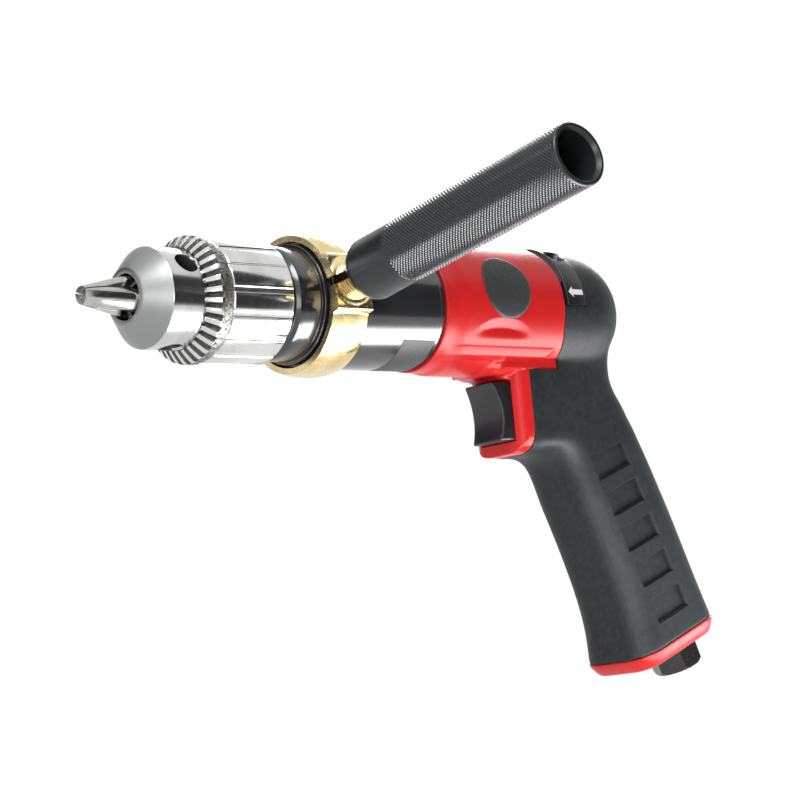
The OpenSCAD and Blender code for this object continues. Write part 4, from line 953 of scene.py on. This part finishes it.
tree.links.new(tones(tree, fine, (0.74, 0.74, 0.73), (0.86, 0.86, 0.85)), shader.inputs["Base Color"])
arrow_shape = [(-3.7, 0.0), (-1.5, 1.9), (-1.5, 0.95), (3.6, 0.95), (3.6, -0.95), (-1.5, -0.95), (-1.5, -1.9)]
ARROW_X = 189.2
for name, turn_angle in (("arrow_left", TAB_TURN / 2), ("arrow_right", 180 - TAB_TURN / 2)):
    rings = []
    for radius in (TAB_R - 0.1, TAB_R + 0.06):
        ring = []
        for x, s in arrow_shape:
            angle = math.radians(turn_angle) + s / TAB_R
            ring.append((ARROW_X + x, -radius * math.cos(angle), BAND_LIFT * radius * math.sin(angle)))
        rings.append(ring)
    arrow = loft(name, rings)
    shade(arrow, white_print)
    stand_for(arrow, "reverse", "black_plastic")


# Grip cover: a charcoal rubber sleeve moulded over the housing's core and the rear dome.
# Its grain is fine and dull, and five shallow pads are sunk in each side of the grip.
LEAN = math.radians(21)
GRIP_LEN = 131.5
GRIP_FRONT = 19.2
GRIP_REAR = 22
GRIP_HALF = 17
GRIP_CORNER = 11
grip_axes = Matrix(((math.cos(LEAN), 0, math.sin(LEAN)), (0, -1, 0), (math.sin(LEAN), 0, -math.cos(LEAN))))
grip_place = Matrix.Translation((188.78, 0, 0)) @ grip_axes.transposed().to_4x4()
GRIP = [(0.02, 5.0, 3.2, -2.8), (0.06, 7.3, 3, -2.7), (0.18, 14.7, 1.6, -2.3), (0.21, 16, -0.9, -2.1),
        (0.24, 17.2, -3, -1.9), (0.265, 18.2, -3.6, -1.8), (0.305, 19.6, -3.2, -1.6),
        (0.325, 18.4, -2.9, -1.3), (0.338, 13.3, -2.8, -1.2), (0.351, 8.6, -2.8, -1),
        (0.368, 5.1, -2.7, -0.9), (0.39, 2.6, -2.6, -0.5),
        (0.415, 1.5, -2.4, -0.2), (0.45, 1.1, -2.2, 0), (0.503, 1.1, -1.5, 0), (0.58, 0.6, -0.8, 0),
        (0.69, 0.3, 0, 0), (0.80, 0.7, 0.4, 0), (0.90, 2.24, 0.6, 0.2), (1, 5.6, 0.6, 0.8)]


def between(stations, t):
    """A smooth curve through the stations: the values at place t."""
    for i in range(len(stations) - 1):
        if t <= stations[i + 1][0] or i == len(stations) - 2:
            break
    p1 = stations[i]
    p2 = stations[i + 1]
    p0 = stations[max(i - 1, 0)]
    p3 = stations[min(i + 2, len(stations) - 1)]
    span = p2[0] - p1[0]
    u = min(max((t - p1[0]) / span, 0), 1)
    values = []
    for k in range(1, len(p1)):
        m1 = (p2[k] - p0[k]) / (p2[0] - p0[0]) * span
        m2 = (p3[k] - p1[k]) / (p3[0] - p1[0]) * span
        values.append((2 * u ** 3 - 3 * u ** 2 + 1) * p1[k] + (u ** 3 - 2 * u ** 2 + u) * m1
                      + (3 * u ** 2 - 2 * u ** 3) * p2[k] + (u ** 3 - u ** 2) * m2)
    return values


GRIP_STEPS = 120
GRIP_TOP = GRIP[0][0]
rings = []
for k in range(GRIP_STEPS + 1):
    t = GRIP_TOP + (1 - GRIP_TOP) * k / GRIP_STEPS
    front, rear, half = between(GRIP, t)
    ring = round_box(-GRIP_FRONT - front, GRIP_REAR + rear, GRIP_HALF + half, GRIP_CORNER)
    rings.append([(x, y, t * GRIP_LEN) for x, y in ring])
cover = loft("grip_rubber", rings, grip_place)
cut(cover, slab("ahead", (60, -60, -160), (FRAME_END - 4, 60, 60)),
    slab("above", (60, -60, -19), (HOUSE_END - 3, 60, 60)))
DOME_X = 201.08
DOME_STEPS = 14
dome = [(HOUSE_END - 3, AXIS), (HOUSE_END - 3, HOUSE_R)]
for k in range(DOME_STEPS + 1):
    angle = math.pi / 2 * k / DOME_STEPS
    dome.append((DOME_X + HOUSE_R * math.sin(angle), max(HOUSE_R * math.cos(angle), AXIS)))
dome = turn("dome", dome, 128)
gather(cover, dome)
melt(cover, 0.5, 8)
DOME_BLEND = (7, 15, 27, 38)
FRAME_BLEND = (34, 42, 62, 74)
blend = cover.vertex_groups.new(name="blend")
for vertex in cover.data.vertices:
    x, y, z = vertex.co / MM
    under_dome = ramp(x, 182, 190) * window(-z, *DOME_BLEND)
    under_frame = (1 - ramp(x, 196, 206)) * window(-z, *FRAME_BLEND)
    blend.add([vertex.index], max(under_dome, under_frame), "REPLACE")
step = cover.modifiers.new("blend", "SMOOTH")
step.vertex_group = blend.name
step.factor = 0.5
step.iterations = 300
settle(cover)
thin(cover, 0.4)
tools = [slab("ahead", (60, -60, -160), (FRAME_END + 0.1, 60, 60)),
         slab("above", (60, -60, -22.6), (HOUSE_END + 0.1, 60, 60)),
         turn("inside", [(100, AXIS), (100, 21.35), (195.0, 21.35), (195.0, 20.7), (201, 20.7), (208, 19.5),
                         (216, 14.5), (221.7, AXIS)], 96),
         turn("ring_slot", [(RING_X - 2, 15), (RING_X - 2, 30), (RING_END + 0.3, 30), (RING_END + 0.3, 15)],
              96, -0.7, 200.7),
         slab("pocket", (160, -11.6, -51), (178.4, 11.6, -10))]
PADS = 5
PAD_START = 55
PAD_PITCH = 14.6
PAD_TALL = 9.2
PAD_HALF = 9
PAD_WALLS = ((-0.25, 15.4), (0, 16.8), (0.5, 17.5))
for side in (-1, 1):
    for i in range(PADS):
        middle = 0.5 * i - 3.9
        low = PAD_START + PAD_PITCH * i
        stack = []
        for more, y in PAD_WALLS:
            half = PAD_HALF + more
            high = low + PAD_TALL + more
            corners = ((-half, low - more), (half, low - more), (half, high), (-half, high))
            stack.append([(middle + x, side * y, z) for x, z in corners])
        tools.append(loft("pad", stack, grip_place))
cut(cover, *tools)
reshape(cover, rear_form)
dull = {"Specular IOR Level": 0.24}
rubber, tree, shader = new_finish("charcoal_rubber", (0.025, 0.028, 0.030), 0.55, extra=dull)
fine = grain(tree, 1700, detail=3.0)
dust = grain(tree, 420, detail=4.0)
cloud = grain(tree, 35)
speckle = tones(tree, dust, (0.0095, 0.0120, 0.0135), (0.020, 0.0235, 0.0255), 0.3, 0.75)
tree.links.new(speckle, shader.inputs["Base Color"])
tree.links.new(spread(tree, cloud, 0.58, 0.5), shader.inputs["Roughness"])
roughen(tree, shader, fine, 0.06)
shade(cover, rubber, 40)
stand_for(cover, "drill", "rubber", "grip_cover")


# Base cap: a red nylon plate over the end of the grip, held by two screws.
# Its edge is drawn in towards the foot, and five exhaust slots lie over the muffler.
BASE_H = 5.6
SLOT_PITCH = 3.2
SCREW_Y = 11.1
inlet_place = grip_place @ Matrix.Translation((8, 0, GRIP_LEN))
BASE_FRONT = 25.0
BASE_REAR = 22.8
BASE_HALF = 18.0
BASE_EDGE = ((0.3, 0.05), (0.0, 0.35), (0.2, 1.6), (1.9, 4.6), (2.3, 5.1), (2.8, 5.45), (3.4, BASE_H))
base_rings = []
for inset, depth in BASE_EDGE:
    ring = round_box(inset - BASE_FRONT, BASE_REAR - inset, BASE_HALF - inset, GRIP_CORNER - inset)
    base_rings.append([(x, y, GRIP_LEN + depth) for x, y in ring])
base_cap = loft("base_plate", base_rings, grip_place)
tools = [upright("inlet_hole", rod(-2, 9, 7.7), 64, inlet_place)]
for k in range(-2, 3):
    y = k * SLOT_PITCH
    tools.append(slab("slot", (-11.6, y - 0.7, GRIP_LEN - 2), (-4.6, y + 0.7, GRIP_LEN + 9), grip_place, 0.5))
for y in (-SCREW_Y, SCREW_Y):
    hole = [(-2, AXIS), (-2, 1.7), (BASE_H - 2, 1.7), (BASE_H - 2, 3.2), (BASE_H + 3, 3.2),
            (BASE_H + 3, AXIS)]
    tools.append(upright("screw_hole", hole, 40, grip_place @ Matrix.Translation((0, y, GRIP_LEN))))
cut(base_cap, *tools)
soften(base_cap, 0.2, 2, 50)
shade(base_cap, red, 40)
stand_for(base_cap, "drill", "red_plastic", "base_cap")


# Air inlet: a blacked steel bushing screwed into the core through the base cap.
# It has a hexagon for a spanner, with a chamfered end, and a tapered pipe thread in its mouth.
HEX_R = 9.815
INLET_END = 17.0
hexagon = []
for z, r in ((5.65, 9.3), (6.0, HEX_R), (INLET_END, HEX_R)):
    hexagon.append([(r * math.cos(math.pi / 3 * k), r * math.sin(math.pi / 3 * k), z) for k in range(6)])
inlet = loft("inlet_hexagon", hexagon, inlet_place)
limit = upright("chamfer", [(5.0, AXIS), (5.0, 11), (13.6, 10.5), (15.6, 8.7), (15.6, AXIS)], 96, inlet_place)
cut(inlet, limit, operation="INTERSECT")
stem = upright("stem", rod(-19, 6.2, 7.55), 64, inlet_place)
cut(inlet, stem, operation="UNION")
bore = [(-30, AXIS), (-30, 4.5), (1.6, 4.5)]
for k in range(9):
    bore += [(2.2 + 1.4 * k, 5.7), (2.9 + 1.4 * k, 6.15)]
bore += [(14.9, 6.2), (15.2, 6.6), (INLET_END, 8.0), (INLET_END, AXIS)]
cut(inlet, upright("bore", bore, 64, inlet_place))
soften(inlet, 0.25, 2, 35)
hex_black, tree, shader = new_finish("blacked_hexagon", (0.016, 0.016, 0.017), 0.22)
marks = grain(tree, 900, detail=3.0)
dress(tree, shader, marks, (0.011, 0.011, 0.012), (0.024, 0.024, 0.025), marks, 0.2, 0.14, 0.005)
shade(inlet, hex_black, 30)
stand_for(inlet, "drill", "black_case", "inlet_bushing")


# Studio: a pale floor under the drill, a white room, soft lamps and dark boards that draw the metal's dark
# bands. A glowing strip below the drill is seen only in glossy finishes, and casts no shadow.
FRAME_PIXELS = 800
PIXELS_PER_MM = 2.8
AIM_PIXEL = (390.7, 364.8)
CAMERA_FAR = 1000
WHITE = (1, 1, 1, 1)
UP = Vector((0, 0, 1))
FLOOR_Z = -0.172
STRIP_X = 0.30
STRIP_LONG = 0.5
target = Vector((115.5, 0, -20))
azimuth = math.radians(-42.4)
elevation = math.radians(-7.3)
roll = math.radians(5.5)
to_camera = Vector((math.sin(azimuth) * math.cos(elevation), -math.cos(azimuth) * math.cos(elevation),
                    math.sin(elevation)))
ahead = -to_camera
right = ahead.cross(UP).normalized()
down = ahead.cross(right)
right, down = math.cos(roll) * right + math.sin(roll) * down, math.cos(roll) * down - math.sin(roll) * right
off_x, off_y = [(pixel - FRAME_PIXELS / 2) / PIXELS_PER_MM for pixel in AIM_PIXEL]
spot = target - right * off_x - down * off_y - ahead * CAMERA_FAR
lens = bpy.data.cameras.new("camera")
lens.sensor_width = 36
lens.lens = 126
lens.clip_start = 0.01
camera = into_scene("camera", lens)
camera.matrix_world = Matrix.Translation(spot * MM) @ Matrix((right, -down, -ahead)).transposed().to_4x4()
bpy.context.scene.camera = camera
bpy.context.scene.view_settings.view_transform = "Standard"


def board(name, middle, normal, width, height, material, seen=False):
    """A flat sheet that stands apart from the drill, with its sizes in metres."""
    middle = Vector(middle)
    normal = Vector(normal).normalized()
    side = normal.cross(UP).normalized() if abs(normal.z) < 0.99 else Vector((1, 0, 0))
    up = side.cross(normal)
    half_side = side * width / 2
    half_up = up * height / 2
    corners = (middle - half_side - half_up, middle + half_side - half_up, middle + half_side + half_up,
               middle - half_side + half_up)
    piece = put(name, [corner / MM for corner in corners], [(0, 1, 2, 3)])
    piece.data.materials.append(material)
    piece.visible_camera = seen
    return piece


def mirrored(tree):
    """The rays of a node tree, and a value that is 1 for what shines back from glossy finishes."""
    rays = add(tree, "ShaderNodeLightPath", {}).outputs
    return rays, reckon(tree, "MAXIMUM", rays["Is Glossy Ray"], rays["Is Transmission Ray"])


lit = {"Emission Color": WHITE}
floor_paint, tree, shader = new_finish("floor_paint", (0.86, 0.86, 0.86), 0.8, extra=lit)
rays, seen = mirrored(tree)
glow = add(tree, "ShaderNodeEmission", {"Color": WHITE, "Strength": 1.0})
both = add(tree, "ShaderNodeMixShader", {0: seen, 1: shader.outputs[0], 2: glow.outputs[0]})
tree.links.new(both.outputs[0], tree.nodes["Material Output"].inputs["Surface"])
tree.links.new(reckon(tree, "MULTIPLY", rays["Is Camera Ray"], 0.6), shader.inputs["Emission Strength"])
board("floor", (0.1, 0, FLOOR_Z), UP, 9, 9, floor_paint, True)
dark_paint, tree, shader = new_finish("dark_board", (0.012, 0.012, 0.012), 0.9)
world = bpy.data.worlds.new("room")
bpy.context.scene.world = world
world.use_nodes = True
tree = world.node_tree
rays, seen = mirrored(tree)
seen = reckon(tree, "MAXIMUM", seen, rays["Is Camera Ray"])
level = add(tree, "ShaderNodeMapRange", {"Value": seen, "To Min": 0.36, "To Max": 1.0})
tree.links.new(level.outputs["Result"], tree.nodes["Background"].inputs["Strength"])
tree.nodes["Background"].inputs["Color"].default_value = WHITE
centre = target * MM
strip_glow = bpy.data.materials.new("strip_glow")
strip_glow.use_nodes = True
strip_glow.cycles.emission_sampling = "NONE"
tree = strip_glow.node_tree
rays = add(tree, "ShaderNodeLightPath", {}).outputs
power = reckon(tree, "MULTIPLY", rays["Is Glossy Ray"], 10.0)
glow = add(tree, "ShaderNodeEmission", {"Color": WHITE, "Strength": power})
tree.links.new(glow.outputs[0], tree.nodes["Material Output"].inputs["Surface"])
strip_board = board("strip_board", (STRIP_X, -0.105, FLOOR_Z + 0.004), UP, STRIP_LONG, 0.13, strip_glow)
strip_board.visible_shadow = False
strip_board.visible_diffuse = False
board("dark_right", (0.46, -0.40, 0.10), (0, 1, 0), 1.04, 0.54, dark_paint)
board("dark_back", (-0.25, 0.55, 0.38), (0.4, -1, -0.3), 0.7, 0.5, dark_paint)


def lamp(name, place, aim_at, power, width, height=None):
    """A soft lamp, round or oblong, with its place and sizes in metres and its power in watts."""
    data = bpy.data.lights.new(name, "AREA")
    data.energy = power
    data.shape = "RECTANGLE" if height else "DISK"
    data.size = width
    if height:
        data.size_y = height
    light = into_scene(name, data)
    light.location = Vector(place)
    light.rotation_euler = (Vector(aim_at) - light.location).to_track_quat("-Z", "Y").to_euler()


lamp("key", (-0.35, -0.55, 0.75), centre, 7, 0.5)
lamp("fill", (-0.5, -0.5, -0.1), centre, 1.5, 0.4)
lamp("rim", (0.8, 0.5, 0.5), centre, 7, 0.5)
lamp("strip", (STRIP_X, -0.115, FLOOR_Z + 0.007), (STRIP_X, -0.115, 1), 0.6, STRIP_LONG, 0.15)
